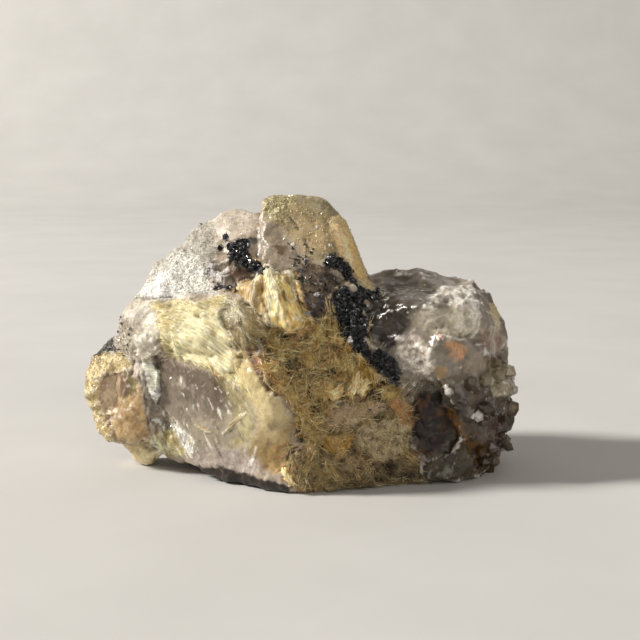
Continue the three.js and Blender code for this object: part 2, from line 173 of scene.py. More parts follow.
# The outline of each zone: places across and down the front picture.
ZONES = """
dome 120,305 143,276 154,257 190,224 208,216 216,228 214,250 208,268 213,285 220,296 149,298
sugar 160,282 168,264 180,254 198,254 218,294 176,296
upper 190,224 208,214 262,205 290,222 312,262 330,270 326,300 300,305 296,284 280,272 262,268 254,280
    214,285 208,268 214,250
crown 198,218 210,210 238,206 258,214 258,238 240,237 222,240 206,244
brownshade 296,270 310,263 328,268 345,300 340,320 328,316 318,322 308,318 300,305
shoulder 116,362 117,318 124,300 148,300 166,314 161,340 150,362
sheaf 148,302 200,299 224,294 238,300 236,312 272,400 262,404 218,375 166,356 158,340 158,318
silk 174,324 200,316 226,315 240,340 247,352 240,366 226,371 204,367 184,361 172,348
pebble 219,306 226,298 236,297 243,306 242,317 232,321 222,316
shade 224,304 242,298 270,327 284,332 274,350 262,352 238,350 224,326
window 146,366 156,358 166,358 206,371 250,402 256,418 254,440 247,456 236,466 191,460 158,445 150,420
    144,385
windowgold 216,372 232,380 246,396 256,418 253,440 240,452 228,450 236,430 232,408
lilacband 196,452 248,446 262,462 258,474 192,462
waxy 234,350 247,347 262,388 280,400 292,416 295,440 284,460 262,462 248,452 256,436 256,418 250,400 233,370
rim 184,466 232,470 284,484 300,500 290,508 184,478
hollow 138,338 148,334 158,338 160,352 152,362 140,360
crust 231,291 239,283 254,280 260,268 268,264 280,273 293,271 302,303 309,314 307,327 298,332 270,326
    241,296
groove 156,346 166,348 178,420 176,432 166,430 158,404
tanleft 231,291 240,285 254,282 262,290 264,306 258,314
whiter 140,292 150,276 164,268 178,280 184,298 150,299
creamleft 149,440 160,434 168,448 160,460 150,452
palelump 452,354 464,362 478,352 488,366 478,384 462,380 454,370
dusky 204,262 212,256 226,266 234,276 226,284 214,280 205,273
edgelight 330,222 344,226 354,240 370,280 356,274 336,248
dusk 440,386 456,392 466,404 474,426 474,446 458,458 440,458 448,440 454,414
lowglow 280,276 292,284 304,308 308,326 296,333 280,331 266,322 276,306
moss 262,338 270,334 300,331 309,320 318,322 328,316 352,346 394,386 400,396 385,400 362,396 340,402 326,412
    322,425 306,446 299,450 296,415 284,398 270,390 262,364
mosspale 262,338 272,330 292,334 296,350 280,380
mossdark 284,352 300,348 306,358 300,372 290,376 282,364
lower 288,440 304,446 322,425 326,410 340,400 362,395 400,394 412,408 410,430 412,452 420,462 424,480
    438,492 413,495 401,489 374,489 303,503 286,478
pink 326,410 340,404 366,404 384,400 388,410 370,420 344,426 328,424
pebbled 360,424 384,418 408,424 409,448 396,462 372,458 358,444
fan 322,440 330,434 346,430 356,436 352,450 340,460 330,456
wedge 300,462 316,456 338,464 342,484 322,494 304,496
orangeroot 390,394 400,396 411,408 412,424 404,424 394,412
hematite 340,289 352,290 360,296 366,328 362,340 369,350 383,354 397,364 399,384 389,381 341,333 335,303
branch 326,262 332,256 342,258 349,266 356,280 352,284 344,272
spur 360,284 368,290 382,294 374,299 364,300 356,294
blackleft 222,246 226,240 234,243 240,241 250,250 253,259 262,262 261,270 240,266 230,262 223,256 226,250
blackline 206,278 214,280 222,285 236,286 238,291 228,293 214,289
oval 246,240 250,237 257,239 257,243 250,244
glow 228,267 240,266 254,272 250,283 238,284 228,276
rutilespot 272,246 278,243 286,247 287,254 280,255
topclear 262,190 300,190 322,195 335,205 362,246 374,290 350,285 344,262 330,256 312,262 285,228 260,214
topgold 261,192 285,192 302,196 290,206 282,218 270,218 261,210
tophaze 290,192 322,195 340,210 350,226 338,226 322,208 300,204
topedge 338,214 350,226 376,290 366,290 358,278
rightupper 366,270 400,264 447,270 478,278 504,310 504,330 508,345 495,356 412,400 402,392 396,362 368,340
    366,312 385,298 374,286
pebbly 396,372 446,380 440,390 420,392 412,400 404,392
rightdark 367,316 378,298 400,298 410,316 406,336 398,348 384,350 370,338
righttop 384,274 440,278 446,288 434,302 414,316 396,316 382,300
frostband 430,303 438,292 447,286 460,288 472,285 478,300 480,316 472,314 464,306
scoop 412,316 434,306 470,312 480,326 474,336 444,336 424,330
frostlow 394,348 402,336 412,334 424,341 434,352 434,366 424,374 410,374 398,362
yellowedge 489,300 496,302 502,314 500,332 488,308
pinkbrown 478,328 490,326 504,332 506,346 494,352 480,344
cavity 412,396 422,380 434,384 448,396 456,412 457,438 448,452 430,458 414,452 410,430
rightlower 410,380 440,380 470,370 495,356 524,372 516,400 518,430 508,462 494,484 447,488 434,492 418,480
    425,462 448,455 458,440 456,410 446,390
smoky 470,388 484,384 500,396 506,420 504,452 486,450 472,432
glassfoot 422,466 436,444 458,438 468,452 474,472 466,484 436,490 420,480
striated 455,386 462,381 469,396 470,420 460,420 453,404
beige 489,366 500,362 512,368 518,378 508,398 494,396 488,382
orange 449,345 458,344 465,347 463,358 456,364 450,357
contact 445,406 452,410 470,436 466,442 446,416
yellowspot 437,367 443,364 449,369 446,376 439,376
stain 466,434 486,446 493,462 492,482 480,480 466,448
cornerrim 82,385 88,366 98,356 112,350 124,355 134,364 133,374 108,374 101,382 100,390 113,437 104,444
    93,430 84,408
cornerglass 98,380 108,373 130,370 136,384 134,400 124,416 108,420 101,404
cornerolive 126,364 134,370 137,386 133,398 128,396
cornerwarm 118,398 134,396 140,385 146,405 150,440 132,446 112,442 108,424 118,416
grey 80,372 90,350 110,334 121,310 130,330 134,360 110,352
foot 104,440 130,446 150,440 160,452 158,470 140,474 120,466 104,452
seam 248,349 253,351 270,391 266,392 249,360
lilac 255,346 261,352 281,394 276,397 267,380 258,358
streakleft 142,362 151,358 159,372 161,394 156,404 148,392
darkstrip 145,399 152,396 176,424 172,436 162,436 152,425
veil 170,424 178,421 190,434 198,452 190,454 180,442
olive 152,436 162,430 171,428 186,452 180,457 166,456 155,450
stainlow 258,450 276,444 298,446 304,466 302,486 266,468
"""
ZONES = {name: [numbers(word) for word in outline] for name, *outline in rows(ZONES)}
# How soft and how ragged the borders of some zones are, in pixels. The others have DEFAULT_BORDER.
DEFAULT_BORDER = (1.0, 4.5)
BORDERS = """
5 5 window waxy windowgold tophaze topclear upper scoop lilacband righttop smoky
1.2 2 seam lilac streakleft olive veil darkstrip oval
0.8 5 hematite branch spur blackline
0.8 9 blackleft
4 7 dome sugar glow frostband frostlow silk mosspale pink stainlow topgold crown groove
4 7 tanleft whiter creamleft palelump mossdark rightdark
3 6 hollow orange yellowspot fan orangeroot contact pebbly striated
4 6 dusky edgelight dusk lowglow cornerglass cornerolive cavity
"""
BORDERS = {name: (float(soft), float(ragged)) for soft, ragged, *group in rows(BORDERS) for name in group}
BORDERS = dict.fromkeys(ZONES, DEFAULT_BORDER) | BORDERS

# What a stroke leaves: its colour, roughness, how clear it is and how far it stands out.
STROKE_LOOKS = {
    "crack": ((70, 58, 46), 0.6, 0.0, -0.3),
    "fold": ((160, 122, 66), 0.7, 0.0, -0.3),
    "rust": ((168, 98, 46), 0.6, 0.0, 0.05),
    "orange": ((238, 188, 110), 0.55, 0.0, 0.1),
    "cream": ((250, 238, 196), 0.55, 0.0, 0.3),
    "white": ((246, 242, 236), 0.4, 0.0, 0.12),
    "frost": ((226, 220, 210), 0.3, 0.15, 0.2),
    "stripe": ((52, 46, 44), 0.2, 0.3, -0.15),
}
# What kind of stroke, how wide in pixels, and the places it runs through.
# The cream strokes on the crust are partly its pale fibres and partly painted highlight on the lit ridges of
# its folds.
STROKES = """
crack 1.0 128,299 140,297 155,298 172,297
crack 0.8 288,215 296,224 303,236 308,248
crack 1.1 134,360 139,374 145,400 149,428 156,448
crack 1.0 238,318 243,330 248,342
fold 1.4 262,300 267,312 272,322
fold 1.4 283,292 287,305 286,318
fold 1.2 296,290 299,302 303,312
orange 1.3 231,291 238,288 247,288
orange 1.5 308,312 310,320 306,329 297,332 284,331 270,326
orange 1.2 296,274 299,288 303,302 309,312
cream 1.6 254,281 261,270 268,266 276,272
cream 1.8 267,272 268,284 266,296
cream 1.8 290,273 292,284 296,300
cream 1.6 272,288 277,302 276,316
cream 1.6 288,322 294,317 302,320
frost 1.1 474,290 478,302 480,316 478,330 472,337 460,340
frost 0.9 434,336 446,334 458,339
white 1.2 406,338 408,344 411,350
frost 1.2 400,356 412,362 424,358 430,350
frost 1.0 404,368 414,372 426,370
frost 0.9 404,274 420,275 436,276
white 1.2 395,275 401,274
stripe 0.9 456,394 463,399 467,400
stripe 0.9 455,400 463,406 467,406
stripe 0.9 457,409 463,413 468,412
white 1.2 191,458 186,446 178,430
white 1.6 250,464 254,457 256,448
cream 0.8 223,434 232,424 245,413
cream 0.7 195,425 203,430 211,432
orange 1.6 213,372 219,376
orange 1.0 350,234 353,246 357,262 362,278
rust 0.6 253,352 260,366 266,380 271,390
cream 1.0 104,414 112,413 119,412
"""
STROKES = [(look, float(width), [numbers(word) for word in route]) for look, width, *route in rows(STROKES)]


def beside(u, v, route):
    """The distance from a line through places of the picture, in pixels."""
    nearest = np.full(len(u), 1e9)
    for (x0, y0), (x1, y1) in zip(route, route[1:]):
        dx, dy = x1 - x0, y1 - y0
        t = np.clip(((u - x0) * dx + (v - y0) * dy) / (dx * dx + dy * dy), 0, 1)
        nearest = np.minimum(nearest, (u - x0 - t * dx) ** 2 + (v - y0 - t * dy) ** 2)
    return np.sqrt(nearest)


def within(u, v, outline):
    """The signed distance from an outline, in pixels: above 0 inside."""
    closed = outline + outline[:1]
    inside = np.zeros(len(u), bool)
    for (x0, y0), (x1, y1) in zip(closed, closed[1:]):
        crosses = (y0 > v) != (y1 > v)
        inside ^= crosses & (u < (x1 - x0) * (v - y0) / (y1 - y0 + 1e-12) + x0)
    distance = beside(u, v, closed)
    return np.where(inside, distance, -distance)


def facing(points, normals):
    """How much a place belongs to the showing face: it fades out round the edges and towards the back."""
    turned = -(normals @ AHEAD) + 0.15 * noise(points, 3.0, 305)
    straight = smooth(0.05, 0.35, turned) * smooth(12.0, 6.0, points[:, 1])
    grazing = smooth(-0.4, -0.1, turned) * smooth(6.0, -3.0, points[:, 1])
    return np.maximum(straight, grazing)


class Face:
    """The zones and strokes at some places of the specimen, with ragged edges."""

    def __init__(self, points, normals):
        self.front = facing(points, normals)
        self.all = len(points)
        self.near = np.flatnonzero(self.front > 0)
        near = points[self.near]
        self.u, self.v = in_picture(near)
        self.ragged = layered(near, 2.4, 4, 310, keep=0.7)
        self.ragged_strokes = layered(near, 1.1, 2, 320)
        self.zones = {name: self.zone(name, *BORDERS[name]) for name in ZONES}

    def spread(self, values):
        out = np.zeros(self.all)
        out[self.near] = values * self.front[self.near]
        return out

    def zone(self, name, soft, ragged):
        return self.spread(smooth(-soft, soft, within(self.u, self.v, ZONES[name]) + ragged * self.ragged))

    def stroke(self, width, route):
        distance = beside(self.u, self.v, route) - 0.8 * width * self.ragged_strokes
        return self.spread(smooth(width + 0.8, width - 0.8, distance) * smooth(-0.6, 0.0, self.ragged))

    def ramp(self, start, end):
        """From 0 at one place of the picture to 1 at another."""
        du, dv = end[0] - start[0], end[1] - start[1]
        return self.spread(((self.u - start[0]) * du + (self.v - start[1]) * dv) / (du * du + dv * dv))

    def __getitem__(self, names):
        return np.clip(sum(self.zones[name] for name in names.split("+")), 0, 1)


# ------------------------------------------------------------------ mesh helpers
def stored(collection, key, width, kind=np.float32):
    """Numbers that a mesh stores, a row for each of its parts."""
    out = np.empty(len(collection) * width, kind)
    collection.foreach_get(key, out)
    return out.reshape(-1, width)


def floats(collection, key, width):
    return stored(collection, key, width).astype(float)


def whole(collection, key, width):
    return stored(collection, key, width, np.int32)


def put_points(mesh, points):
    mesh.vertices.foreach_set("co", (points * MM).astype(np.float32).ravel())
    mesh.update()


def set_colour(mesh, name, values):
    """Stores a colour, or up to four numbers, on each vertex."""
    values = np.asarray(values, float)
    full = np.ones((len(values), 4))
    full[:, : values.shape[1]] = values
    attribute = mesh.attributes.new(name, "FLOAT_COLOR", "POINT")
    attribute.data.foreach_set("color", full.astype(np.float32).ravel())


def add_piece(name, points, faces, material, tint):
    """A mesh piece of the specimen, kept within its box. Its faces are triangles."""
    points = np.clip(points, lowest, highest)
    mesh = bpy.data.meshes.new(name)
    count, sides = faces.shape
    mesh.vertices.add(len(points))
    mesh.loops.add(count * sides)
    mesh.loops.foreach_set("vertex_index", faces.astype(np.int32).ravel())
    mesh.polygons.add(count)
    mesh.polygons.foreach_set("loop_start", np.arange(0, count * sides, sides, dtype=np.int32))
    mesh.vertices.foreach_set("co", (points * MM).astype(np.float32).ravel())
    mesh.update(calc_edges=True)
    mesh.validate()
    mesh.polygons.foreach_set("use_smooth", np.zeros(len(mesh.polygons), bool))
    set_colour(mesh, "tint", tint)
    mesh.materials.append(material)
    piece = bpy.data.objects.new(name, mesh)
    scene.collection.objects.link(piece)
    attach(piece, "root")


# ------------------------------------------------------------------ the body of quartz
# How fine the solid's mesh is made, and how far back and down its showing face goes, in millimetres.
VOXEL, SHOWN_DEPTH, SHOWN_HEIGHT = 0.65, 9.0, 0.5
# Below this height nothing is raised, so the specimen stands as the solid does.
FLOOR_ZONE = 0.3

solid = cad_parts[NODE]
body = bpy.data.objects.new("quartz_body", solid.data.copy())
scene.collection.objects.link(body)
body.data.materials.clear()
remesh = body.modifiers.new("remesh", "REMESH")
remesh.mode = "VOXEL"
remesh.voxel_size = VOXEL * MM
bpy.context.view_layer.update()
rounded = bpy.data.meshes.new_from_object(body.evaluated_get(bpy.context.evaluated_depsgraph_get()))
body.modifiers.clear()


def edges_of(mesh):
    ends = whole(mesh.edges, "vertices", 2)
    return ends, np.bincount(ends.ravel(), minlength=len(mesh.vertices))[:, None]


def relaxed(values, ends, valence, times, share=0.5):
    """Values on vertices, each moved towards the mean of its neighbours."""
    for _ in range(times):
        total = np.zeros_like(values)
        for axis in range(values.shape[1]):
            total[:, axis] = np.bincount(ends[:, 0], values[ends[:, 1], axis], len(values))
            total[:, axis] += np.bincount(ends[:, 1], values[ends[:, 0], axis], len(values))
        values = (1 - share) * values + share * total / valence
    return values


points = floats(rounded.vertices, "co", 3) / MM
points = relaxed(points, *edges_of(rounded), 4)
put_points(rounded, points)
normals = floats(rounded.vertex_normals, "vector", 3)

# The showing face gets a mesh twice as fine as the rest.
shown = (normals @ AHEAD < 0.05) & (points[:, 1] < SHOWN_DEPTH) & (points[:, 2] > SHOWN_HEIGHT)
work = bmesh.new()
work.from_mesh(rounded)
work.verts.ensure_lookup_table()
picked = [e for e in work.edges if shown[e.verts[0].index] and shown[e.verts[1].index]]
bmesh.ops.subdivide_edges(work, edges=picked, cuts=1, use_grid_fill=True)
fine = bpy.data.meshes.new("quartz_body")
work.to_mesh(fine)
work.free()
body.data = fine
fine.polygons.foreach_set("use_smooth", np.ones(len(fine.polygons), bool))
ends, valence = edges_of(fine)

points = relaxed(floats(fine.vertices, "co", 3) / MM, ends, valence, 3)
put_points(fine, points)
normals = floats(fine.vertex_normals, "vector", 3)
face = Face(points, normals)
Z = face.zones

# Most places go back to the flat facets of the solid, and its waxy and felted parts stay rounded.
cad_places = [v.co / MM for v in solid.data.vertices]
cad_surface = BVHTree.FromPolygons(cad_places, [p.vertices for p in solid.data.polygons])
crisp = 0.85 - 0.65 * face["window+waxy+shoulder+moss+lower+dome+sugar+cavity"] - 0.35 * Z["crust"]
nearest = np.array([cad_surface.find_nearest(p)[0] for p in points])
points = points + (nearest - points) * crisp[:, None]
points = relaxed(points, ends, valence, 1)

# Some creases of the solid are shallower on the specimen.
shallow = 0.6 * Z["cornerglass"] + Z["hollow"] + Z["streakleft"] + 0.6 * Z["groove"] + 0.8 * Z["striated"]
points = points + (relaxed(points, ends, valence, 120) - points) * np.clip(shallow, 0, 1)[:, None]

# Rutile fibres run round the window in arcs, down the crust from its top, and out over the base.
ARC_CENTRE, CRUST_TOP, BASE_CENTRE = (150.0, 440.0), (258.0, 235.0), (292, 436)
PIXEL = DISTANCE / FOCAL
u, v = in_picture(points)


def polar(centre):
    du, dv = u - centre[0], v - centre[1]
    return np.hypot(du, dv) * PIXEL, np.arctan2(dv, du)


arc_radius, arc_turn = polar(ARC_CENTRE)
crust_radius, crust_turn = polar(CRUST_TOP)
arcs = np.stack([arc_radius, 1.2 * arc_turn, 0.3 * points[:, 1]], 1)
fans = np.stack([12.0 * crust_turn, 0.12 * crust_radius, 0.3 * points[:, 1]], 1)
arced = face["sheaf+shade"] * (1 - 0.8 * Z["waxy"])
fanned = face["crust"]
fibre = np.clip(arced + fanned + face["streakleft+veil"], 0, 1)
flow = np.where((fanned > arced)[:, None], fans, arcs)

felt = face["moss+lower+fan+mossdark"]
sugary = np.clip(face["grey+pebbled"] + 0.5 * Z["cornerrim"] + 0.45 * Z["sugar"] + 0.4 * face["lower"], 0, 1)
sugary = sugary + 0.2 * Z["dome"] + 0.5 * Z["topgold"]
sugary = np.clip(sugary + 0.6 * Z["pebbly"] + 0.12 * Z["topclear"], 0, 1)
glassy = face["window+waxy+topclear+cornerglass+foot+scoop+smoky"] + 0.6 * face["shoulder+cornerwarm+upper"]
glassy = np.clip(glassy, 0, 1)
lobed = face["rightupper+rightlower"] * (1 - face["cavity+striated"])
clump = chipped(points, 2.7, 61, 1.0, 1.5)
clefts = face["moss"] * smooth(0.1, 0.9, clump)
pits = face["lower"] * smooth(0.7, 1.1, layered(points, 1.2, 2, 67))

# Crystals that lean out of the back have flat faces: where from, which way, radius and length.
BACK_CRYSTALS = [
    ((-4, 6.5, 10), (-0.35, 0.55, 0.76), 9, 30),
    ((9, 10, 10), (0.3, 0.7, 0.45), 7, 18),
    ((24, 8, 14), (0.35, 0.45, 0.6), 7, 21),
    ((-24, 10, 8.5), (-0.6, 0.6, 0.25), 4.8, 12),
]
back = 1 - face.front
gem = np.zeros(len(points))
for start, way, radius, length in BACK_CRYSTALS:
    way = unit(np.array(way))
    reach = points - (np.array(start) + SHIFT)
    along = reach @ way
    gap = np.linalg.norm(reach - along[:, None] * way, axis=1)
    edge = radius * np.clip((length - along) / (1.1 * radius), 0, 1)
    flat = smooth(1.2, 0.4, np.abs(gap - 0.93 * edge))
    gem = np.maximum(gem, flat * (points[:, 1] > 8) * (along > 0.3 * length))
gem *= back
right_end = smooth(20, 30, points[:, 0]) * back
left_end = smooth(-24, -32, points[:, 0]) * back

stony = np.clip(1 - glassy - gem - sugary - felt - fibre - face["rightupper+rightlower+shoulder"], 0, 1)
relief = 0.12 * layered(points, 1.2, 3, 31)
relief += stony * face.front * (0.30 * chipped(points, 3.0, 11) + 0.12 * chipped(points, 1.4, 23))
broken = 0.5 * chipped(points, 11.0, 43, 1.7, 1.1) + 0.14 * chipped(points, 4.5, 47, 1.7, 1.1)
relief += back * (1 - gem) * broken
relief += glassy * (0.14 * chipped(points, 6.0, 41) + 0.03 * layered(points, 0.8, 2, 45))
relief += sugary * 0.12 * layered(points, 0.7, 2, 51)
relief += felt * (0.6 * layered(points, 3.0, 4, 63, keep=0.7) - 0.2) - 0.55 * Z["moss"] * clump
relief += Z["lower"] * 0.3 * chipped(points, 2.2, 69) - 0.4 * pits
streams = 0.35 * chipped(flow, 1.7, 71) + 0.12 * layered(flow, 0.6, 2, 73)
relief += fibre * (1 - 0.7 * Z["silk"]) * (1 - 0.4 * Z["crust"]) * streams
folds = 1 - 2 * np.abs(layered(flow * (1.0, 0.5, 1.0), 4.0, 2, 79))
relief += Z["crust"] * (0.5 * folds + 0.15 * layered(points, 1.6, 2, 78))
relief += 1.2 * Z["hollow"] + 0.6 * Z["streakleft"] + 0.3 * Z["waxy"]
tufted = 0.25 * layered(points, 2.2, 3, 77) * Z["sheaf"] * (1 - Z["silk"])
relief += 0.6 * Z["silk"] - 0.5 * Z["shade"] + tufted
relief += lobed * (0.42 * chipped(points, 5.2, 81, 1.9, 1.1) + 0.2 * chipped(points, 2.4, 83, 1.9, 1.1))
relief += Z["cavity"] * (0.12 * chipped(points, 3.0, 85) + 0.12 * layered(points, 0.8, 2, 87))
relief -= 0.9 * Z["cavity"] * (0.6 + 0.4 * noise(points, 2.0, 91))
relief += face["frostlow+frostband+scoop+cornerrim"] * 0.3 * chipped(points, 1.7, 93)
relief += 0.3 * Z["frostband"] + 0.4 * Z["striated"] - 0.3 * Z["scoop"]
facets = 0.4 * Z["foot"] * chipped(points, 4.0, 97, 2.2, 0.5)
relief += Z["cornerglass"] * (0.3 * chipped(points, 2.4, 95) - 0.1) + 0.35 * Z["cornerrim"] + facets
relief -= 0.3 * Z["darkstrip"] + 0.3 * Z["seam"] + 0.2 * Z["mossdark"]
relief += 0.25 * face["hematite+branch+spur"]
for look, width, route in STROKES:
    relief += STROKE_LOOKS[look][3] * face.stroke(width, route)
on_floor = points[:, 2] < FLOOR_ZONE
relief = np.where(on_floor, np.minimum(relief, 0), relief)
points = points + normals * relief[:, None]
points[:, 2] = np.maximum(points[:, 2], 0.0)
lowest, highest = (np.array(corner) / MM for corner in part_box(NODE))
points = np.clip(points, lowest, highest)
put_points(fine, points)
normals = floats(fine.vertex_normals, "vector", 3)

# ------------------------------------------------------------------ its colours
face = Face(points, normals)
Z = face.zones
front, back = face.front, 1 - face.front
n_wide = layered(points, 5.0, 4, 101)
n_mid = layered(points, 1.8, 3, 111)
n_fine = layered(points, 0.7, 2, 121)
bulge = ((points - relaxed(points, ends, valence, 5)) * normals).sum(1)
bulge /= np.std(bulge) + 1e-9
swell = ((points - relaxed(points, ends, valence, 40)) * normals).sum(1)
swell /= np.std(swell) + 1e-9

to_right = smooth(10, 16, points[:, 0])[:, None]
colour = linear(176, 160, 142) * (1 - to_right) + linear(128, 116, 100) * to_right
rough = np.full(len(points), 0.4)
clear = np.full(len(points), 0.15)


def paint(amount, base, other=None, by=None, at=(-0.3, 0.5), gloss=None, glass=None):
    """Colours places, turning to another colour where a noise runs high, and sets gloss and clearness."""
    global colour, rough, clear
    tone = linear(*base)
    if other is not None:
        t = smooth(*at, by)[:, None]
        tone = tone * (1 - t) + linear(*other) * t
    colour = colour * (1 - amount[:, None]) + tone * amount[:, None]
    if gloss is not None:
        rough = rough * (1 - amount) + gloss * amount
    if glass is not None:
        clear = clear * (1 - amount) + glass * amount


def paint_rows(table):
    """Paints a row at a time: zone or share, colour, other colour, noise, gloss, glass, strength, limits."""
    for where, base, *rest in rows(table):
        words = [None if word == "-" else word for word in (rest + 6 * ["-"])[:6]]
        other, by, gloss, glass, strength, at = words
        amount = SHARES[where] if where in SHARES else face[where]
        paint(
            amount * float(strength or 1.0),
            numbers(base),
            other and numbers(other),
            NOISES[by or "mid"],
            [float(n) for n in at.split(",")] if at else (-0.3, 0.5),
            gloss and float(gloss),
            glass and float(glass),
        )


slanted = np.stack([points[:, 0] + 0.55 * points[:, 2], 0.12 * points[:, 2], points[:, 1]], 1)
scratch = layered(slanted, 0.55, 2, 213)
veins = smooth(0.16, 0.04, np.abs(layered(points, 2.0, 4, 231, keep=0.7))) * smooth(-0.3, 0.3, n_mid)
chinks = smooth(0.14, 0.03, np.abs(layered(points, 1.5, 4, 233, keep=0.7))) * smooth(-0.1, 0.4, -n_mid)
hairs = layered(flow, 0.5, 2, 207)
fleck = layered(points, 0.6, 2, 221)
bare = face["window+dome+upper+shoulder+scoop+frostlow+cornerglass+cornerwarm+orange"]
bare = np.clip(bare - Z["cavity"], 0, 1)
black = face["hematite+branch+spur+blackleft"] + 0.6 * Z["blackline"]
dull = np.clip(black + face["moss+lower+waxy+cavity+dusky+glow+dusk+striated+rim"], 0, 1)
NOISES = {
    "wide": n_wide,
    "mid": n_mid,
    "fine": n_fine,
    "mid_fine": n_mid + 0.6 * n_fine,
    # Darker in hollows and paler on bulges, partly painted shade, with a random mottle. The moss and the
    # lower part take their colour by it.
    "lump": 0.5 * swell + 0.7 * n_mid,
    "glow_ring": np.hypot(u - 252, v - 400) / 55 + 0.25 * n_mid,
    "upright": layered(points * (1.0, 1.0, 0.35), 0.9, 2, 209),
    "smoke": face.ramp((236, 440), (180, 372)) + 0.4 * n_wide,
    "folds": folds + 0.35 * layered(flow, 1.2, 3, 205),
}
# Shares of places that aren't a zone, or only a part of one.
SHARES = {
    "back": back,
    "milky": back * smooth(0.0, 0.5, n_wide),
    "smoked": back * smooth(0.0, 0.5, noise(points, 13.0, 141)),
    "right_end": right_end,
    "left_end": left_end,
    "gem": gem,
    "gilded": smooth(0.35, 0.6, layered(points, 9.0, 4, 151, keep=0.7)) * back * (1 - gem),
    "ochre": back * smooth(0.6, 1.8, -swell) * (1 - gem),
    "wisps": Z["window"] * smooth(0.2, 0.6, layered(points, 3.6, 4, 211)),
    # Painted shade: the lower part is darker near its foot on the right.
    "dark_foot": face["lower"] * smooth(6, 2, points[:, 2]) * smooth(325, 355, u),
    # Painted shade on the right wall of the corner recess.
    "glass_side": Z["cornerglass"] * smooth(114, 121, u),
    "scratches": Z["window"] * smooth(0.5, 0.8, scratch) * smooth(-0.4, 0.3, n_wide),
    "furrows": Z["window"] * smooth(0.5, 0.8, -scratch),
    "veins": face["scoop+frostlow+frostband"] * veins,
    "chinks": face["dome+cornerrim+shoulder+frostlow+frostband"] * chinks,
    "dark_hairs": Z["crust"] * smooth(0.3, 0.8, -hairs),
    "pale_hairs": Z["crust"] * smooth(0.4, 0.9, hairs),
    # Small white flecks on the bare quartz: painted glints.
    "flecks": bare * smooth(0.7, 1.2, fleck),
    "black": black,
    # Pale on convex ridges: partly frost, partly painted highlight.
    "edges": smooth(0.6, 2.4, bulge) * (1 - 0.85 * dull),
    "lobe_edges": smooth(1.0, 2.0, bulge) * lobed,
}
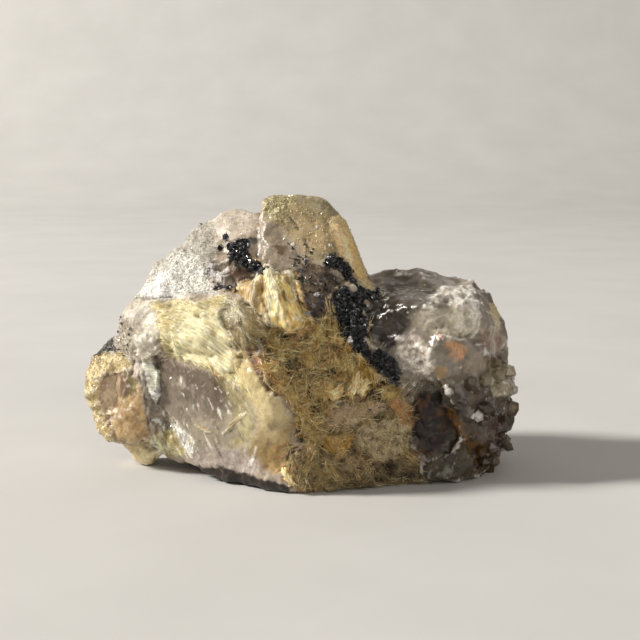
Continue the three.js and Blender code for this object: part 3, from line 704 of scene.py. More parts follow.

# The back and sides first: milky and smoky quartz, with ochre in its hollows. Then the showing face.
# On the crust the left part is darkened with painted shade and the lower right brightened with painted light.
# Its colour runs from tan in the fold valleys to cream on the ridges, partly painted shade.
# The cavity and the dusk beside it are painted nearly black: brown smoky quartz, darkened further with
# painted shade in the hollow.
# The dark band along the lower edge of the left part is painted shadow: the shadow cast on the table, laid on
# the stone as colour.
# The frosted band on the right lobe is painted near white: frost, brightened further as painted light where
# it catches the lamp.
# The glass in the corner recess is painted paler, painted light against the recess's own shadow, and its
# right wall darker, painted shade where the lamp falls on it.
# The hollow below the shoulder, the groove at the window's left, a place low on the dome and the pale streak
# are painted near white: painted light where the body shades itself.
# The left part of the right lobe and the valley below it are painted dark: smoky quartz, darkened further
# with the painted shadow of the top crystal and painted shade in the valley.
# The right edge of the top crystal is yellow with fibres, and painted brighter still: painted light on an
# edge that faces away from the lamp.
paint_rows("""
back 178,164,144 150,134,114 wide .16 .4 - -.4,.5
milky 202,192,178 216,208,196 - .3 .2 .8
smoked 126,108,92 100,84,70 - .12 .5
right_end 142,128,112 114,98,84 - .15 .45 .85
left_end 190,174,148 164,148,122 - .3 .25 .7
gem 176,166,150 150,136,118 wide .07 .6
gilded 192,160,98 156,122,68 fine .7 0 .7
ochre 150,118,76 118,92,60 fine - - .4
upper 186,170,150 164,148,126 wide .3 .3
crown 228,216,200 208,194,176 - .35 .1 .85
dome 184,178,164 168,160,146 - .5 .08
sugar 218,216,208 190,186,174 fine .4 0 .85 -.1,.8
whiter 252,250,246 240,236,228 fine .4 - .75
groove 248,238,216 214,200,176 - .15 - .7
hollow 252,242,218 238,222,194 - .3 .05
dusky 68,54,44 54,40,30 fine .3 .2 .8
brownshade 112,94,72 70,56,42 - .4 .15 - -.4,.4
grey 84,82,72 56,52,48 fine .5 - - .1,.6
shoulder 188,176,158 204,196,176 - .35 .12
topclear 218,194,148 188,170,128 wide .12 .45 - -.5,.5
tophaze 170,160,130 156,144,114 - - - .7
topgold 164,152,108 194,188,150 fine .3 .25 .8
edgelight 252,230,184 248,212,158 - .15 .05
topedge 228,196,130 232,206,148 - .3 .2 .85
rightupper 140,128,114 168,158,144 - .11 .35 - -.3,.6
righttop 54,48,38 70,64,58 - - - .7
rightdark 44,34,28 58,50,44 - .15 .35
scoop 210,200,176 252,242,218 - .15 .3 - -.2,.6
frostband 244,238,226 206,194,180 fine .3 .1 .9 -.2,.6
frostlow 230,220,204 162,146,134 fine .22 .2 .9 -.1,.6
yellowedge 228,208,158 246,232,190 - .3 .2 .8
pinkbrown 170,142,126 210,192,174 - .15 .35 .8
rightlower 104,90,72 126,112,94 - .11 .4
smoky 92,76,64 116,100,88 wide .12 .45
striated 118,106,102 96,86,82 fine .2 .2
glassfoot 96,86,60 74,64,44 - .12 .5
beige 198,186,160 168,156,128 - .2 .3
cavity 24,12,4 84,54,22 mid_fine .5 0 - 0,1.2
orange 255,158,68 228,178,132 upright .4 .05 .75
palelump 186,172,154 150,138,122 - .15 .25 .8
dusk 62,46,26 36,24,12 - .15 .3 .75
pebbly 150,140,124 104,94,82 fine .2 .25 .8 -.2,.4
contact 128,88,36 100,72,32 fine .4 .05 .85
yellowspot 198,160,88 - - - - .8
stain 98,68,14 38,24,4 fine .6 0 .9 0,.5
window 196,184,160 126,108,92 smoke .1 .45 - 0,1.1
wisps 196,188,170 - - .2 .2 .6
windowgold 198,184,134 176,162,112 wide .14 .3 .8
lilacband 198,186,178 174,160,148 - .2 .2 .8
rim 46,32,20 30,20,12 - .35 .2
stainlow 182,146,82 204,180,120 - .5 .05 .85
sheaf 216,202,158 186,170,120 - .5 0 - -.2,.6
silk 246,238,200 228,214,164 fine .45 0 .9
waxy 230,210,156 156,128,72 glow_ring .2 .35 .85 .2,1.1
shade 144,126,82 114,96,58 - .55 0
pebble 200,192,164 180,170,138 - .2 .2 .9
streakleft 252,252,230 252,252,252 - .5 0 .85
darkstrip 158,146,128 252,252,242 fine .2 .1 - .3,.8
olive 168,152,96 196,184,136 - .25 .2
creamleft 252,252,222 252,242,198 fine .4 0 .85
veil 236,232,222 186,178,156 fine .35 .05 - -.1,.5
lower 74,58,32 162,140,98 lump .7 0 - -.9,1.1
pink 222,196,166 192,170,130 fine - - .75
pebbled 198,182,146 134,118,88 fine - - .85 0,.6
fan 218,176,96 154,116,58 fine - - .5
wedge 156,134,82 118,100,58 - .2 .35 .85
orangeroot 206,160,104 170,124,70 fine - - .5
moss 46,30,12 244,212,140 lump .75 0 - -.9,1.2
mosspale 190,176,118 140,124,76 - - - .8
mossdark 62,50,34 40,34,28 fine - - .6
dark_foot 56,42,24 40,30,16 fine - - .6
seam 98,42,4 80,36,4 fine .6 0 .9
lilac 136,108,76 108,80,50 fine .4 .1 .9
glow 94,56,18 56,34,14 fine .4 .05 .9
rutilespot 104,80,46 70,54,36 fine .4 .05 .85
crust 204,172,104 252,240,188 folds .5 0 - -.1,.8
tanleft 184,150,94 166,132,76 fine - - .7
lowglow 252,230,154 250,200,112 fine .45 - .85
cornerrim 210,192,146 188,162,106 fine .5 0 - -.1,.7
cornerglass 226,202,168 196,168,136 - .12 .12
glass_side 132,106,84 110,86,66 - .12
cornerolive 122,106,68 142,126,84 fine .3 .15
cornerwarm 184,156,112 158,126,84 - .3 .15
foot 228,206,152 228,214,170 - .2 .1
""")
for look, width, route in STROKES:
    base, gloss, glass, _ = STROKE_LOOKS[look]
    paint(face.stroke(width, route) * 0.85, base, gloss=gloss, glass=glass)
paint_rows("""
scratches 246,240,230 - - .2 0 .8
furrows 92,78,66 - - - .15 .6
veins 252,248,240 - - .2 0 .75
chinks 104,90,74 - - - - .6
dark_hairs 112,82,40 - - - - .7
pale_hairs 255,250,224 - - - - .7
flecks 250,247,240 - - .15 - .6
""")
colour *= (1 - 0.4 * bare * smooth(0.5, 1.1, -fleck))[:, None]
# The black patches, then frost on worn edges, which is partly painted highlight on the ridges.
paint_rows("""
black 9,10,12 28,30,32 fine .4 0 - .2,.9
oval 70,72,72 96,98,98 fine .3 .1
edges 236,230,220 - - - .05 .45
lobe_edges 246,242,234 - - - .05 .6
""")
# Painted shade: hollows, clefts and pits are darker. Each small break face has its own tone.
colour *= (1 - 0.7 * clefts - 0.6 * pits)[:, None]
colour *= (1 - 0.45 * smooth(0.6, 2.6, -bulge) - 0.25 * smooth(0.8, 2.5, -swell))[:, None]
colour *= (1 + 0.12 * n_fine)[:, None]
set_colour(fine, "tint", np.clip(colour, 0.002, 0.95))
set_colour(fine, "look", np.stack([np.clip(rough, 0.05, 0.9), np.clip(clear, 0, 0.7), sugary, fibre], 1))
flow_attribute = fine.attributes.new("flow", "FLOAT_VECTOR", "POINT")
flow_attribute.data.foreach_set("vector", flow.astype(np.float32).ravel())


# ------------------------------------------------------------------ materials
def feed(tree, socket, value):
    """Gives an input a number, a colour or what another node puts out."""
    if isinstance(value, bpy.types.NodeSocket):
        tree.links.new(value, socket)
    elif hasattr(socket.default_value, "__len__") and len(socket.default_value) == 4:
        socket.default_value = (*value, 1.0)
    else:
        socket.default_value = value


def feed_all(tree, to, values):
    for key, value in values.items():
        feed(tree, to.inputs[key], value)


def node(tree, kind, values=None, **settings):
    made = tree.nodes.new(kind)
    for key, value in settings.items():
        setattr(made, key, value)
    feed_all(tree, made, values or {})
    return made


def new_material(name):
    material = bpy.data.materials.new(name)
    material.use_nodes = True
    tree = material.node_tree
    return material, tree, next(n for n in tree.nodes if n.type == "BSDF_PRINCIPLED")


def ramp(tree, low, high, source, to=(0.0, 1.0)):
    """Takes a number from between two limits to between two others."""
    limits = {"From Min": low, "From Max": high, "To Min": to[0], "To Max": to[1], "Value": source}
    return node(tree, "ShaderNodeMapRange", limits).outputs["Result"]


def mixed(tree, factor, a, b, kind="MIX"):
    made = node(tree, "ShaderNodeMix", data_type="RGBA", blend_type=kind)
    feed(tree, made.inputs["Factor"], factor)
    for name, value in (("A", a), ("B", b)):
        feed(tree, next(i for i in made.inputs if i.name == name and i.type == "RGBA"), value)
    return next(o for o in made.outputs if o.type == "RGBA")


def maths(tree, operation, total, *others):
    """Adds or multiplies numbers, from the left."""
    for value in others:
        total = node(tree, "ShaderNodeMath", {0: total, 1: value}, operation=operation).outputs["Value"]
    return total


def vector_maths(tree, operation, output, values):
    return node(tree, "ShaderNodeVectorMath", values, operation=operation).outputs[output]


def places(tree):
    """Places on the specimen, in millimetres."""
    here = node(tree, "ShaderNodeTexCoord").outputs["Object"]
    return vector_maths(tree, "SCALE", 0, {"Scale": 1 / MM, 0: here})


def noise_node(tree, vector, scale, detail=3.0, roughness=0.55):
    values = {"Scale": scale, "Detail": detail, "Roughness": roughness, "Vector": vector}
    return node(tree, "ShaderNodeTexNoise", values).outputs["Fac"]


def cell_faces(tree, vector, scale):
    """Height over small flat faces, each with a slope of its own, and a number for each face."""
    cells = node(tree, "ShaderNodeTexVoronoi", {"Scale": scale, "Vector": vector}).outputs
    gap = vector_maths(tree, "SUBTRACT", 0, {0: vector, 1: cells["Position"]})
    slope = vector_maths(tree, "SUBTRACT", 0, {0: cells["Color"], 1: (0.5, 0.5, 0.5)})
    height = vector_maths(tree, "DOT_PRODUCT", "Value", {0: gap, 1: slope})
    return height, node(tree, "ShaderNodeSeparateColor", {"Color": cells["Color"]}).outputs["Red"]


def bumped(tree, height, strength, distance):
    """The way a surface faces with fine relief on it, as deep as a distance in millimetres."""
    values = {"Strength": strength, "Distance": distance * MM, "Height": height}
    return node(tree, "ShaderNodeBump", values).outputs["Normal"]


QUARTZ_IOR = 1.544


def quartz_material():
    """Milky to clear quartz, with sugary grains and fibres where the mesh says so."""
    material, tree, shader = new_material("quartz")
    tint = node(tree, "ShaderNodeAttribute", attribute_name="tint").outputs["Color"]
    look = node(tree, "ShaderNodeAttribute", attribute_name="look").outputs
    parts = node(tree, "ShaderNodeSeparateColor", {"Color": look["Color"]})
    roughness, passes, sugar = (parts.outputs[k] for k in ("Red", "Green", "Blue"))
    fibres = look["Alpha"]
    streams = node(tree, "ShaderNodeAttribute", attribute_name="flow").outputs["Vector"]
    here = places(tree)
    grain = noise_node(tree, here, 1.6, 6.0, 0.65)
    dust = noise_node(tree, here, 5.0, 2.0)
    streak = noise_node(tree, streams, 3.0, 4.0, 0.6)
    cell_height, cell_number = cell_faces(tree, here, 2.4)

    def varied(share, by):
        return maths(tree, "ADD", 1.0, maths(tree, "MULTIPLY", share, by))

    cloudy = ramp(tree, 0.0, 0.45, passes, (1.0, 0.25))
    cloudy = maths(tree, "MULTIPLY", cloudy, ramp(tree, 0.0, 1.0, fibres, (1.0, 0.4)))
    by_grain = ramp(tree, 0.3, 0.7, grain, (-0.28, 0.28))
    by_grain = maths(tree, "ADD", by_grain, ramp(tree, 0.3, 0.7, dust, (-0.14, 0.14)))
    by_cell = ramp(tree, 0.0, 1.0, cell_number, (-0.2, 0.25))
    by_streak = ramp(tree, 0.3, 0.7, streak, (-0.5, 0.4))
    shade = maths(tree, "MULTIPLY", varied(cloudy, by_grain), varied(sugar, by_cell))
    shade = maths(tree, "MULTIPLY", shade, varied(fibres, by_streak))
    height = maths(
        tree,
        "ADD",
        maths(tree, "MULTIPLY", grain, cloudy, 0.8),
        maths(tree, "MULTIPLY", sugar, cell_height, 2.2),
        maths(tree, "MULTIPLY", fibres, streak, 1.6),
    )
    feed_all(tree, shader, {
        "Base Color": mixed(tree, 1.0, tint, shade, "MULTIPLY"),
        "Roughness": maths(tree, "ADD", roughness, ramp(tree, 0.3, 0.7, grain, (-0.08, 0.12))),
        "Transmission Weight": passes,
        "Normal": bumped(tree, height, 0.8, 0.3),
        "IOR": QUARTZ_IOR,
        "Subsurface Weight": 0.2,
        "Subsurface Radius": (1.0, 0.8, 0.55),
        "Subsurface Scale": 1.2 * MM,
    })
    absorption = node(tree, "ShaderNodeVolumeAbsorption", {"Color": (0.64, 0.56, 0.44), "Density": 40.0})
    output = next(n for n in tree.nodes if n.type == "OUTPUT_MATERIAL")
    feed_all(tree, output, {"Volume": absorption.outputs["Volume"]})
    return material


def tinted_material(name, rough=(0.3, 0.5), shade=(0.8, 1.15), scale=1.6, clear=0.0, ior=1.5):
    """A material whose colour is stored on the mesh, with uneven shade, gloss and relief."""
    material, tree, shader = new_material(name)
    tint = node(tree, "ShaderNodeAttribute", attribute_name="tint").outputs["Color"]
    grain = noise_node(tree, places(tree), scale)
    feed_all(tree, shader, {
        "Base Color": mixed(tree, 1.0, tint, ramp(tree, 0.3, 0.7, grain, shade), "MULTIPLY"),
        "Roughness": ramp(tree, 0.3, 0.7, grain, rough),
        "Normal": bumped(tree, grain, 0.3, 0.06),
        "IOR": ior,
        "Transmission Weight": clear,
    })
    return material


QUARTZ = quartz_material()
RUTILE = tinted_material("rutile", (0.28, 0.5), (0.75, 1.15), 1.2)
HEMATITE = tinted_material("hematite", (0.12, 0.4), (0.6, 1.4), 1.0, ior=1.9)
GRAINS = tinted_material("quartz_grains", (0.15, 0.35), (0.85, 1.1), 1.5)
CRYSTALS = tinted_material("clear_quartz", (0.05, 0.15), (0.85, 1.1), 0.6, clear=0.6, ior=QUARTZ_IOR)
fine.materials.append(QUARTZ)
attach(body, "root")
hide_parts(NODE)

# ------------------------------------------------------------------ what grows on the surface
fine.calc_loop_triangles()
triangles = whole(fine.loop_triangles, "vertices", 3)
corners = points[triangles]
areas = np.linalg.norm(np.cross(corners[:, 1] - corners[:, 0], corners[:, 2] - corners[:, 0]), axis=1) / 2
surface = BVHTree.FromPolygons([tuple(p) for p in points], [tuple(t) for t in triangles.tolist()])


def strewn(weights, count, rng):
    """Random places on the body by weight: places, normals and the nearest vertices."""
    chance = areas * weights[triangles].mean(1)
    picked = rng.choice(len(areas), count, p=chance / chance.sum())
    a, b = np.sqrt(rng.random(count)), rng.random(count)
    share = np.stack([1 - a, a * (1 - b), a * b], 1)[..., None]
    at = (corners[picked] * share).sum(1)
    return at, unit((normals[triangles[picked]] * share).sum(1)), triangles[picked, 0]


def snapped(wanted):
    """The nearest places on the body, the way that it faces there, and the nearest vertices."""
    found = [surface.find_nearest(p) for p in wanted]
    at, normal = (np.array([f[k] for f in found]) for k in (0, 1))
    return at, normal, triangles[[f[2] for f in found], 0]


def seen(u, v):
    """The place of the body seen at a place of the front picture, and the way it faces."""
    way = sight(u, v)
    hit = surface.ray_cast(Vector(EYE), Vector(way))
    if hit[0] is None:
        hit = surface.find_nearest(Vector(EYE + DISTANCE * way))
    return np.array(hit[0]), np.array(hit[1])


def along_surface(way, normal):
    return unit(way - normal * (way * normal).sum(-1, keepdims=True))


def tubes(paths, radius, sides=3, taper=0.6):
    """Thin tapered rods along paths of places: their places, faces, and the path of each place."""
    count, steps = paths.shape[:2]
    ahead = unit(np.gradient(paths, axis=1))
    side = unit(np.cross(ahead, np.roll(ahead, 1, axis=2) + 0.01))
    other = np.cross(side, ahead)
    rings = []
    for k in range(steps):
        thick = (radius * (1 - taper * k / (steps - 1)))[:, None]
        for s in range(sides):
            turn = 2 * math.pi * s / sides
            rings.append(paths[:, k] + thick * (math.cos(turn) * side[:, k] + math.sin(turn) * other[:, k]))
    faces = [(0, s + 1, s) for s in range(1, sides - 1)] if sides > 3 else []
    for k in range(steps - 1):
        for s in range(sides):
            a, b = k * sides + s, k * sides + (s + 1) % sides
            faces += [(a, b, b + sides), (a, b + sides, a + sides)]
    last = (steps - 1) * sides
    faces += [(last, last + s, last + s + 1) for s in range(1, sides - 1)]
    return gathered(rings, faces, count)


def curved(start, way, bend, length, steps=3):
    """Paths that each curve one way."""
    t = np.linspace(0, 1, steps)[None, :, None]
    length = length[:, None, None]
    return start[:, None] + way[:, None] * length * t + bend[:, None] * length * t * t


def gathered(rings, faces, count):
    """The places and faces of many copies of one shape."""
    laid = np.stack(rings, 1)
    per = laid.shape[1]
    faces = (np.array(faces)[None] + (np.arange(count) * per)[:, None, None]).reshape(-1, 3)
    return laid.reshape(-1, 3), faces, np.repeat(np.arange(count), per)


RUST, INK = (170, 100, 44), (13, 16, 22)
# How deep a needle's root lies, and the widest gap that a needle crosses, in millimetres.
SUNK, WIDEST_STEP = 0.04, 2.5


def needle_colours(rng, count, pale, deep, rust):
    t = rng.random(count)[:, None]
    out = linear(*pale) * (1 - t) + linear(*deep) * t
    out[rng.random(count) < rust] = linear(*RUST)
    return out * rng.uniform(0.7, 1.15, count)[:, None]


def grow_needles(name, weights, bundles, each, length, radius, spread, lift, pale, deep,
                 rust=0.05, lead=None, stray=0.25, curve=0.25, blend=0.5, seed=1):
    """Bundles of needles that lie on the surface, each bundle running its own way."""
    rng = np.random.default_rng(seed)
    at, normal, _ = strewn(weights, bundles, rng)
    run = rng.normal(size=(bundles, 3)) if lead is None else lead(at) + 0.3 * rng.normal(size=(bundles, 3))
    run = along_surface(run, normal)
    owner = np.repeat(np.arange(bundles), each)
    count = len(owner)
    off = rng.normal(size=(count, 3)) * np.repeat(rng.uniform(*spread, bundles), each)[:, None]
    off -= normal[owner] * (off * normal[owner]).sum(1, keepdims=True)
    start, facing_way, nearest_vertex = snapped(at[owner] + off)
    way = along_surface(run[owner] + stray * rng.normal(size=(count, 3)), facing_way)
    way = unit(way + facing_way * rng.uniform(*lift, count)[:, None])
    bend = along_surface(rng.normal(size=(count, 3)), facing_way) * (curve * rng.random(count)[:, None])
    size = rng.uniform(*length, count) * np.repeat(rng.uniform(0.6, 1.0, bundles), each)
    start = start - way * (0.35 * size)[:, None] - facing_way * SUNK
    laid, faces, rod = tubes(curved(start, way, bend, size), rng.uniform(*radius, count))
    tint = needle_colours(rng, bundles, pale, deep, rust)[owner] * rng.uniform(0.75, 1.25, count)[:, None]
    tint = (1 - blend) * tint + blend * 1.5 * colour[nearest_vertex] * rng.uniform(0.6, 1.4, count)[:, None]
    add_piece(name, laid, faces, RUTILE, np.clip(tint, 0, 0.95)[rod])


def lead_from(centre, circling=False):
    """Ways out from a place of the front picture, or round it."""

    def lead(at):
        u, v = in_picture(at)
        du, dv = (centre[1] - v, u - centre[0]) if circling else (u - centre[0], v - centre[1])
        return unit(du[:, None] * ACROSS - dv[:, None] * UPWARD)

    return lead


# What each kind of needle is like: thickness from and to, its two colours, and how far it lifts off.
TUFT_KINDS = {
    "flake": ((0.1, 0.17), (255, 250, 214), (232, 196, 110), 0.9),
    "blade": ((0.07, 0.12), (214, 176, 90), (150, 110, 46), 0.7),
    "needle": ((0.04, 0.07), (240, 222, 166), (206, 170, 96), 0.3),
    "hair": ((0.035, 0.06), (240, 222, 166), (176, 142, 78), 0.15),
    "rust": ((0.02, 0.04), (170, 112, 62), (128, 84, 46), 0.1),
    "apricot": ((0.05, 0.09), (244, 206, 150), (160, 104, 56), 0.4),
}
# Bundles that stand out: kind, from and to in the front picture, width in pixels and number of needles.
TUFTS = """
flake 327,397 344,386 5 44
flake 331,400 346,391 4 30
flake 352,394 358,373 5 40
flake 360,394 367,378 5 36
blade 358,358 372,388 3 14
blade 364,362 378,392 3 12
blade 345,345 352,356 5 10
needle 331,330 327,298 4 12
needle 337,334 332,302 3 10
needle 341,342 334,312 5 10
needle 326,322 338,306 4 6
needle 367,332 373,316 3 6
hair 372,346 368,332 3 6
needle 306,447 328,421 2 5
hair 296,440 332,414 10 24
hair 290,416 326,418 8 22
hair 292,404 312,392 8 18
hair 300,384 322,368 14 30
hair 284,398 302,378 8 16
needle 298,412 297,398 2 4
hair 306,462 322,430 12 30
hair 300,476 316,456 8 20
hair 328,466 344,488 8 18
hair 312,454 308,438 8 14
blade 324,438 334,456 5 16
blade 340,450 352,434 6 16
hair 398,446 420,466 12 24
hair 372,462 368,478 10 12
hair 354,468 362,484 8 10
rust 271,458 292,455 3 10
rust 274,452 286,444 4 8
rust 276,476 290,464 5 7
apricot 392,396 408,424 8 44
apricot 284,480 296,462 6 14
flake 282,468 296,484 6 24
needle 223,434 246,413 3 5
needle 195,425 212,432 2 4
needle 104,415 121,412 2 4
needle 243,255 262,262 5 6
"""
TUFTS = [
    (kind, numbers(start), numbers(end), int(width), int(count))
    for kind, start, end, width, count in rows(TUFTS)
]

# The needles: where, bundles, needles in each, then from and to of the length, radius, spread and lift,
# the two colours and the share of rusty bundles.
GOLD, PALE, BROWN = (244, 218, 148), (248, 238, 204), (126, 90, 40)
broad = [(width, [start, end]) for kind, start, end, width, _ in TUFTS if kind in ("flake", "blade")]
parted = sum(face.stroke(width + 1.0, route) for width, route in broad)
strands = face["moss"] * (1 - 0.6 * Z["mossdark"]) * (1 - 0.6 * clefts)
strands = strands * np.clip(1 - parted, 0, 1) * (1 - Z["waxy"])
grow_needles("rutile_moss", strands, 420, 14, (1.2, 4.0), (0.03, 0.06), (0.15, 0.6), (0.0, 0.16),
             GOLD, BROWN, 0.06, stray=0.16, blend=0.7, seed=11)
grow_needles("rutile_strands", strands, 620, 4, (2.0, 6.0), (0.045, 0.08), (0.05, 0.3), (0.05, 0.3),
             (255, 240, 186), (206, 160, 84), 0.08, stray=0.08, blend=0.1, seed=18)
grow_needles("rutile_felt", strands + 0.3 * Z["lower"], 1700, 3, (0.5, 1.6), (0.025, 0.05), (0.1, 0.4),
             (0.0, 0.4), (224, 196, 124), (104, 74, 34), 0.06, blend=0.85, seed=12)
grow_needles("rutile_base", face["lower"] + 0.3 * Z["stainlow"], 340, 8, (1.5, 5.0), (0.03, 0.07), (0.2, 0.8),
             (0.0, 0.1), (240, 224, 170), (140, 108, 58), 0.05, lead=lead_from(BASE_CENTRE), stray=0.3,
             blend=0.3, seed=13)
grow_needles("rutile_crust", face["crust"], 130, 7, (0.6, 1.8), (0.025, 0.045), (0.2, 0.6), (-0.02, 0.06),
             (252, 240, 204), (222, 184, 112), 0.03, lead=lead_from(CRUST_TOP), stray=0.2, blend=0.8, seed=14)
combed = face["sheaf+shade"] * (1 - face["waxy+seam+lilac"]) * (1 - 0.5 * Z["silk"])
grow_needles("rutile_sheaf", combed, 360, 9, (1.4, 4.0), (0.025, 0.045), (0.15, 0.6), (-0.05, 0.03),
             PALE, (216, 196, 136), 0.0, lead=lead_from(ARC_CENTRE, circling=True), stray=0.05, curve=0.05,
             blend=0.75, seed=15)
grow_needles("rutile_inside", Z["window"] + 0.5 * Z["topclear"], 150, 3, (1.0, 4.0), (0.018, 0.03),
             (0.2, 1.2), (-0.03, 0.01), (224, 214, 176), (168, 150, 106), 0.02, stray=0.3, curve=0.05,
             seed=16)


def grow_tufts(name, tufts, seed, steps=5):
    """Needles that follow the surface from one place of the front picture to another."""
    rng = np.random.default_rng(seed)
    paths, radius, tints = [], [], []
    for kind, start, end, width, count in tufts:
        thickness, pale, deep, lift = TUFT_KINDS[kind]
        start, end = np.array(start, float), np.array(end, float)
        aside = np.array([start[1] - end[1], end[0] - start[0]]) / np.linalg.norm(end - start)
        for _ in range(count):
            a = start + aside * rng.normal() * 0.35 * width + rng.normal(size=2)
            b = end + aside * rng.normal() * 0.35 * width + rng.normal(size=2)
            low, high = np.sort(rng.random(2))
            low, high = 0.5 * low, 0.5 + 0.5 * high
            path = []
            for t in np.linspace(low, high, steps):
                hit, facing_way = seen(*(a + (b - a) * t))
                path.append(hit + facing_way * (lift * t * rng.uniform(0.5, 1.0) + 0.02))
            if np.linalg.norm(np.diff(path, axis=0), axis=1).max() < WIDEST_STEP:
                paths.append(path)
                radius.append(rng.uniform(*thickness))
                mix = rng.random()
                tints.append((linear(*pale) * (1 - mix) + linear(*deep) * mix) * rng.uniform(0.85, 1.15))
    laid, faces, rod = tubes(np.array(paths), np.array(radius))
    add_piece(name, laid, faces, RUTILE, np.array(tints)[rod])


grow_tufts("rutile_tufts", TUFTS, 17)


def grow_plates(name, weights, count, radius, seed):
    """Thin six-sided plates of hematite, standing every way."""
    rng = np.random.default_rng(seed)
    at, normal, _ = strewn(weights, count, rng)
    way = unit(normal + 1.4 * rng.normal(size=(count, 3)))
    size = radius[0] + (radius[1] - radius[0]) * rng.random(count) ** 2
    thick = 0.3 * np.sqrt(size * radius[0])
    base = at + normal * (0.3 * size * rng.random(count))[:, None] - way * (0.5 * thick)[:, None]
    paths = np.stack([base, base + way * thick[:, None]], 1)
    laid, faces, owner = tubes(paths, size, sides=6, taper=0.0)
    laid += 0.12 * size[owner][:, None] * rng.normal(size=laid.shape)
    tint = linear(*INK) * rng.uniform(0.4, 2.4, count)[:, None]
    add_piece(name, laid, faces, HEMATITE, tint[owner])


SPECKS_CENTRE = (300, 268)
patchy = black * smooth(-0.3, 0.3, layered(points, 1.6, 3, 165))
grow_plates("hematite_plates", face["hematite"] ** 2 + 0.5 * patchy + 0.3 * black**3, 4800, (0.1, 0.5), 21)
near_black = smooth(60, 0, np.hypot(u - SPECKS_CENTRE[0], (v - SPECKS_CENTRE[1]) * 1.8))
near_black = near_black * smooth(0.1, 0.5, layered(points, 4.0, 3, 163))
scattered = front * near_black + 0.6 * Z["brownshade"] + 0.3 * Z["mossdark"]
scattered = scattered + 0.25 * Z["grey"] + 0.3 * Z["stain"]
scattered += 0.5 * face["pink"] * smooth(0.2, 0.6, n_mid)
scattered += back * 0.05 * smooth(0.3, 0.6, layered(points, 5.0, 3, 161))
grow_plates("hematite_specks", scattered, 700, (0.08, 0.4), 22)


def square_to(way, rng):
    """Two directions square to a direction and to each other, turned at random."""
    side = unit(np.cross(way, rng.normal(size=way.shape)))
    return side, np.cross(way, side)


def grain_shapes(at, normal, size, rng):
    """Small angular grains, half sunk in the surface."""
    count = len(at)
    way = unit(normal + 0.8 * rng.normal(size=(count, 3)))
    side, other = square_to(way, rng)
    middle = at - normal * (0.15 * size)[:, None]
    arms = (way, side, other, -side, -other)
    corners = [middle + arm * (size * rng.uniform(0.6, 1.2, count))[:, None] for arm in arms]
    return gathered(corners, [(0, 1, 2), (0, 2, 3), (0, 3, 4), (0, 4, 1), (1, 4, 3), (1, 3, 2)], count)


def grow_grains(name, weights, count, radius, seed):
    """Grains of quartz, as the surface is coloured."""
    rng = np.random.default_rng(seed)
    at, normal, nearest_vertex = strewn(weights, count, rng)
    laid, faces, owner = grain_shapes(at, normal, rng.uniform(*radius, count), rng)
    tint = np.clip(colour[nearest_vertex] * rng.uniform(0.75, 1.35, count)[:, None], 0, 0.9)
    add_piece(name, laid, faces, GRAINS, tint[owner])


grow_grains("quartz_sugar", sugary * front + 0.25 * Z["veil"] + 0.3 * Z["darkstrip"], 14000, (0.1, 0.26), 31)
grow_grains("quartz_sand", face["lower"] + 0.3 * face["upper"] + 0.4 * face["pink"], 9000, (0.08, 0.2), 32)

# Single grains and groups of them: place in the front picture, width of the group, size, colour. The
# near-white ones in the window and in the black band stand for glints: painted highlights.
GROUPS = """
350,339 1.0 0.8 250,250,252
317,295 0.7 0.6 176,170,172
313,305 0.5 0.45 146,138,138
366,308 0.8 0.7 120,118,116
307,313 0.5 0.5 150,156,166
398,274 0.6 0.4 236,228,220
516,376 0.8 0.6 206,190,182
489,421 0.4 0.5 200,190,184
440,337 0.6 0.5 236,210,196
482,304 0.3 0.4 216,208,192
293,245 0.3 0.35 236,230,214
317,227 0.3 0.3 236,230,214
330,245 0.3 0.3 230,222,206
283,207 0.4 0.35 240,232,196
276,212 0.4 0.35 240,232,196
171,378 0.2 0.25 250,248,244
183,394 0.3 0.25 250,248,244
216,388 0.3 0.2 246,240,230
228,393 0.3 0.2 246,240,230
187,409 0.4 0.2 250,248,244
"""


def grow_groups(name, groups, seed, each=7):
    rng = np.random.default_rng(seed)
    middles, normals_there, sizes, tints = [], [], [], []
    for place, width, size, tint in rows(groups):
        hit, facing_way = seen(*numbers(place))
        middles.append(hit + 0.5 * float(width) * rng.normal(size=(each, 3)))
        normals_there.append(np.tile(facing_way, (each, 1)))
        sizes.append(float(size) * rng.uniform(0.6, 1.2, each))
        tints.append(linear(*numbers(tint)) * rng.uniform(0.8, 1.1, (each, 1)))
    at, _, _ = snapped(np.concatenate(middles))
    laid, faces, owner = grain_shapes(at, np.concatenate(normals_there), np.concatenate(sizes), rng)
    add_piece(name, laid, faces, GRAINS, np.concatenate(tints)[owner])


grow_groups("grains_and_glints", GROUPS, 33)


# Small crystals stop towards the top of the right-hand end, and get smaller on the way there.
NONE_UP, SMALLER_UP = (37, 31), (34, 24)


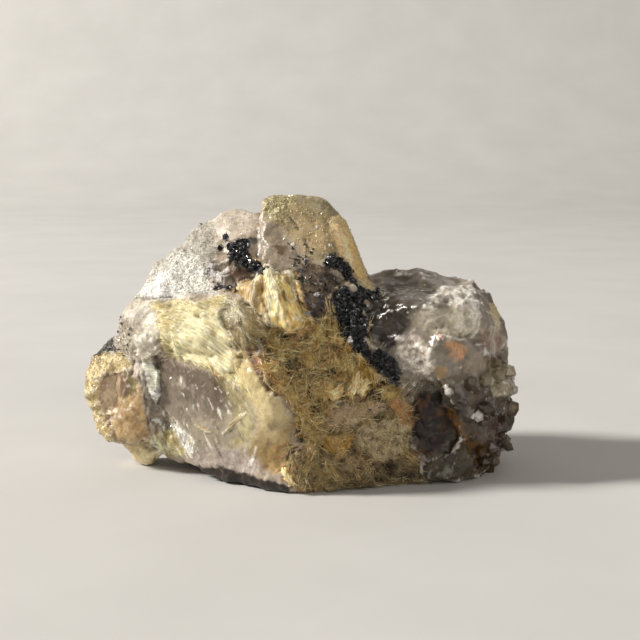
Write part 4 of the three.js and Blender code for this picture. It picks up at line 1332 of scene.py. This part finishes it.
def grow_points(name, weights, count, radius, lean, seed):
    """Small clear crystals: six sides and a point."""
    rng = np.random.default_rng(seed)
    at, normal, nearest_vertex = strewn(weights, count, rng)
    way = unit(normal + lean * rng.normal(size=(count, 3)))
    size = rng.uniform(*radius, count) * rng.uniform(0.5, 1.0, count)
    size = size * (0.35 + 0.65 * smooth(*SMALLER_UP, at[:, 2]))
    side, other = square_to(way, rng)
    length = size * rng.uniform(1.2, 2.2, count)
    rings = []
    for share, width in ((-0.5, 1.0), (0.55, 0.95)):
        for s in range(6):
            turn = math.pi * s / 3
            out = math.cos(turn) * side + math.sin(turn) * other
            rings.append(at + way * (length * share)[:, None] + out * (size * width)[:, None])
    rings.append(at + way * length[:, None])
    faces = [(0, s + 1, s) for s in range(1, 5)]
    for s in range(6):
        t = (s + 1) % 6
        faces += [(s, t, t + 6), (s, t + 6, s + 6), (s + 6, t + 6, 12)]
    laid, faces, owner = gathered(rings, faces, count)
    tint = np.clip(colour[nearest_vertex] * 1.25, 0, 0.9)
    add_piece(name, laid, faces, CRYSTALS, tint[owner])


drusy = 0.6 * Z["rightlower"] * (1 - face["striated+palelump"]) * smooth(27, 35, points[:, 0])
drusy += right_end * smooth(0.1, 0.5, normals[:, 0])
drusy += back * 0.15 * smooth(0.2, 0.6, noise(points, 9.0, 171)) * (1 - gem)
drusy *= smooth(*NONE_UP, points[:, 2])
grow_points("quartz_points", drusy, 250, (0.5, 1.8), 0.35, 41)

# ------------------------------------------------------------------ floor, light and air
FLOOR_WIDTH, FLOOR_FRONT, FLOOR_BACK, CURVE, WALL = 4.0, -1.5, 0.9, 0.5, 2.0


def floor_material():
    material, tree, shader = new_material("floor")
    grain = noise_node(tree, places(tree), 0.02, 4.0)
    base = mixed(tree, ramp(tree, 0.3, 0.7, grain), (0.50, 0.49, 0.475), (0.54, 0.53, 0.515))
    feed_all(tree, shader, {"Base Color": base, "Roughness": 0.9})
    return material


profile = [(FLOOR_FRONT, 0.0), (FLOOR_BACK, 0.0)]
for k in range(1, 17):
    turn = math.pi / 2 * k / 16
    profile.append((FLOOR_BACK + CURVE * math.sin(turn), CURVE * (1 - math.cos(turn))))
profile.append((FLOOR_BACK + CURVE, WALL))
stage_points = [(x, y, z) for y, z in profile for x in (-FLOOR_WIDTH / 2, FLOOR_WIDTH / 2)]
stage_faces = [(2 * k, 2 * k + 1, 2 * k + 3, 2 * k + 2) for k in range(len(profile) - 1)]
stage_mesh = bpy.data.meshes.new("floor")
stage_mesh.from_pydata(stage_points, [], stage_faces)
stage_mesh.polygons.foreach_set("use_smooth", np.ones(len(stage_mesh.polygons), bool))
stage_mesh.materials.append(floor_material())
floor = bpy.data.objects.new("floor", stage_mesh)
scene.collection.objects.link(floor)


def area_light(name, way, distance, size, power, tint):
    data = bpy.data.lights.new(name, "AREA")
    data.shape = "DISK"
    data.size = size
    data.energy = power
    data.color = tint
    lamp = bpy.data.objects.new(name, data)
    scene.collection.objects.link(lamp)
    way = Vector(way).normalized()
    lamp.location = Vector((0, 0, 0.025)) + way * distance
    lamp.rotation_euler = way.to_track_quat("Z", "Y").to_euler()


area_light("key", (-0.84, -0.06, 0.54), 2.4, 0.4, 92.0, (1.0, 0.97, 0.92))
area_light("fill", (0.3, -1.0, 0.6), 2.0, 1.6, 9.0, (1.0, 0.96, 0.9))
area_light("back", (0.4, 1.0, 0.7), 2.0, 1.2, 7.0, (1.0, 0.98, 0.95))

world = bpy.data.worlds.new("air")
world.use_nodes = True
air = {"Color": (0.89, 0.84, 0.76), "Strength": 0.3}
feed_all(world.node_tree, world.node_tree.nodes["Background"], air)
scene.world = world
scene.view_settings.view_transform = "Standard"
scene.cycles.use_denoising = True
scene.cycles.max_bounces = 10
scene.cycles.transmission_bounces = 8
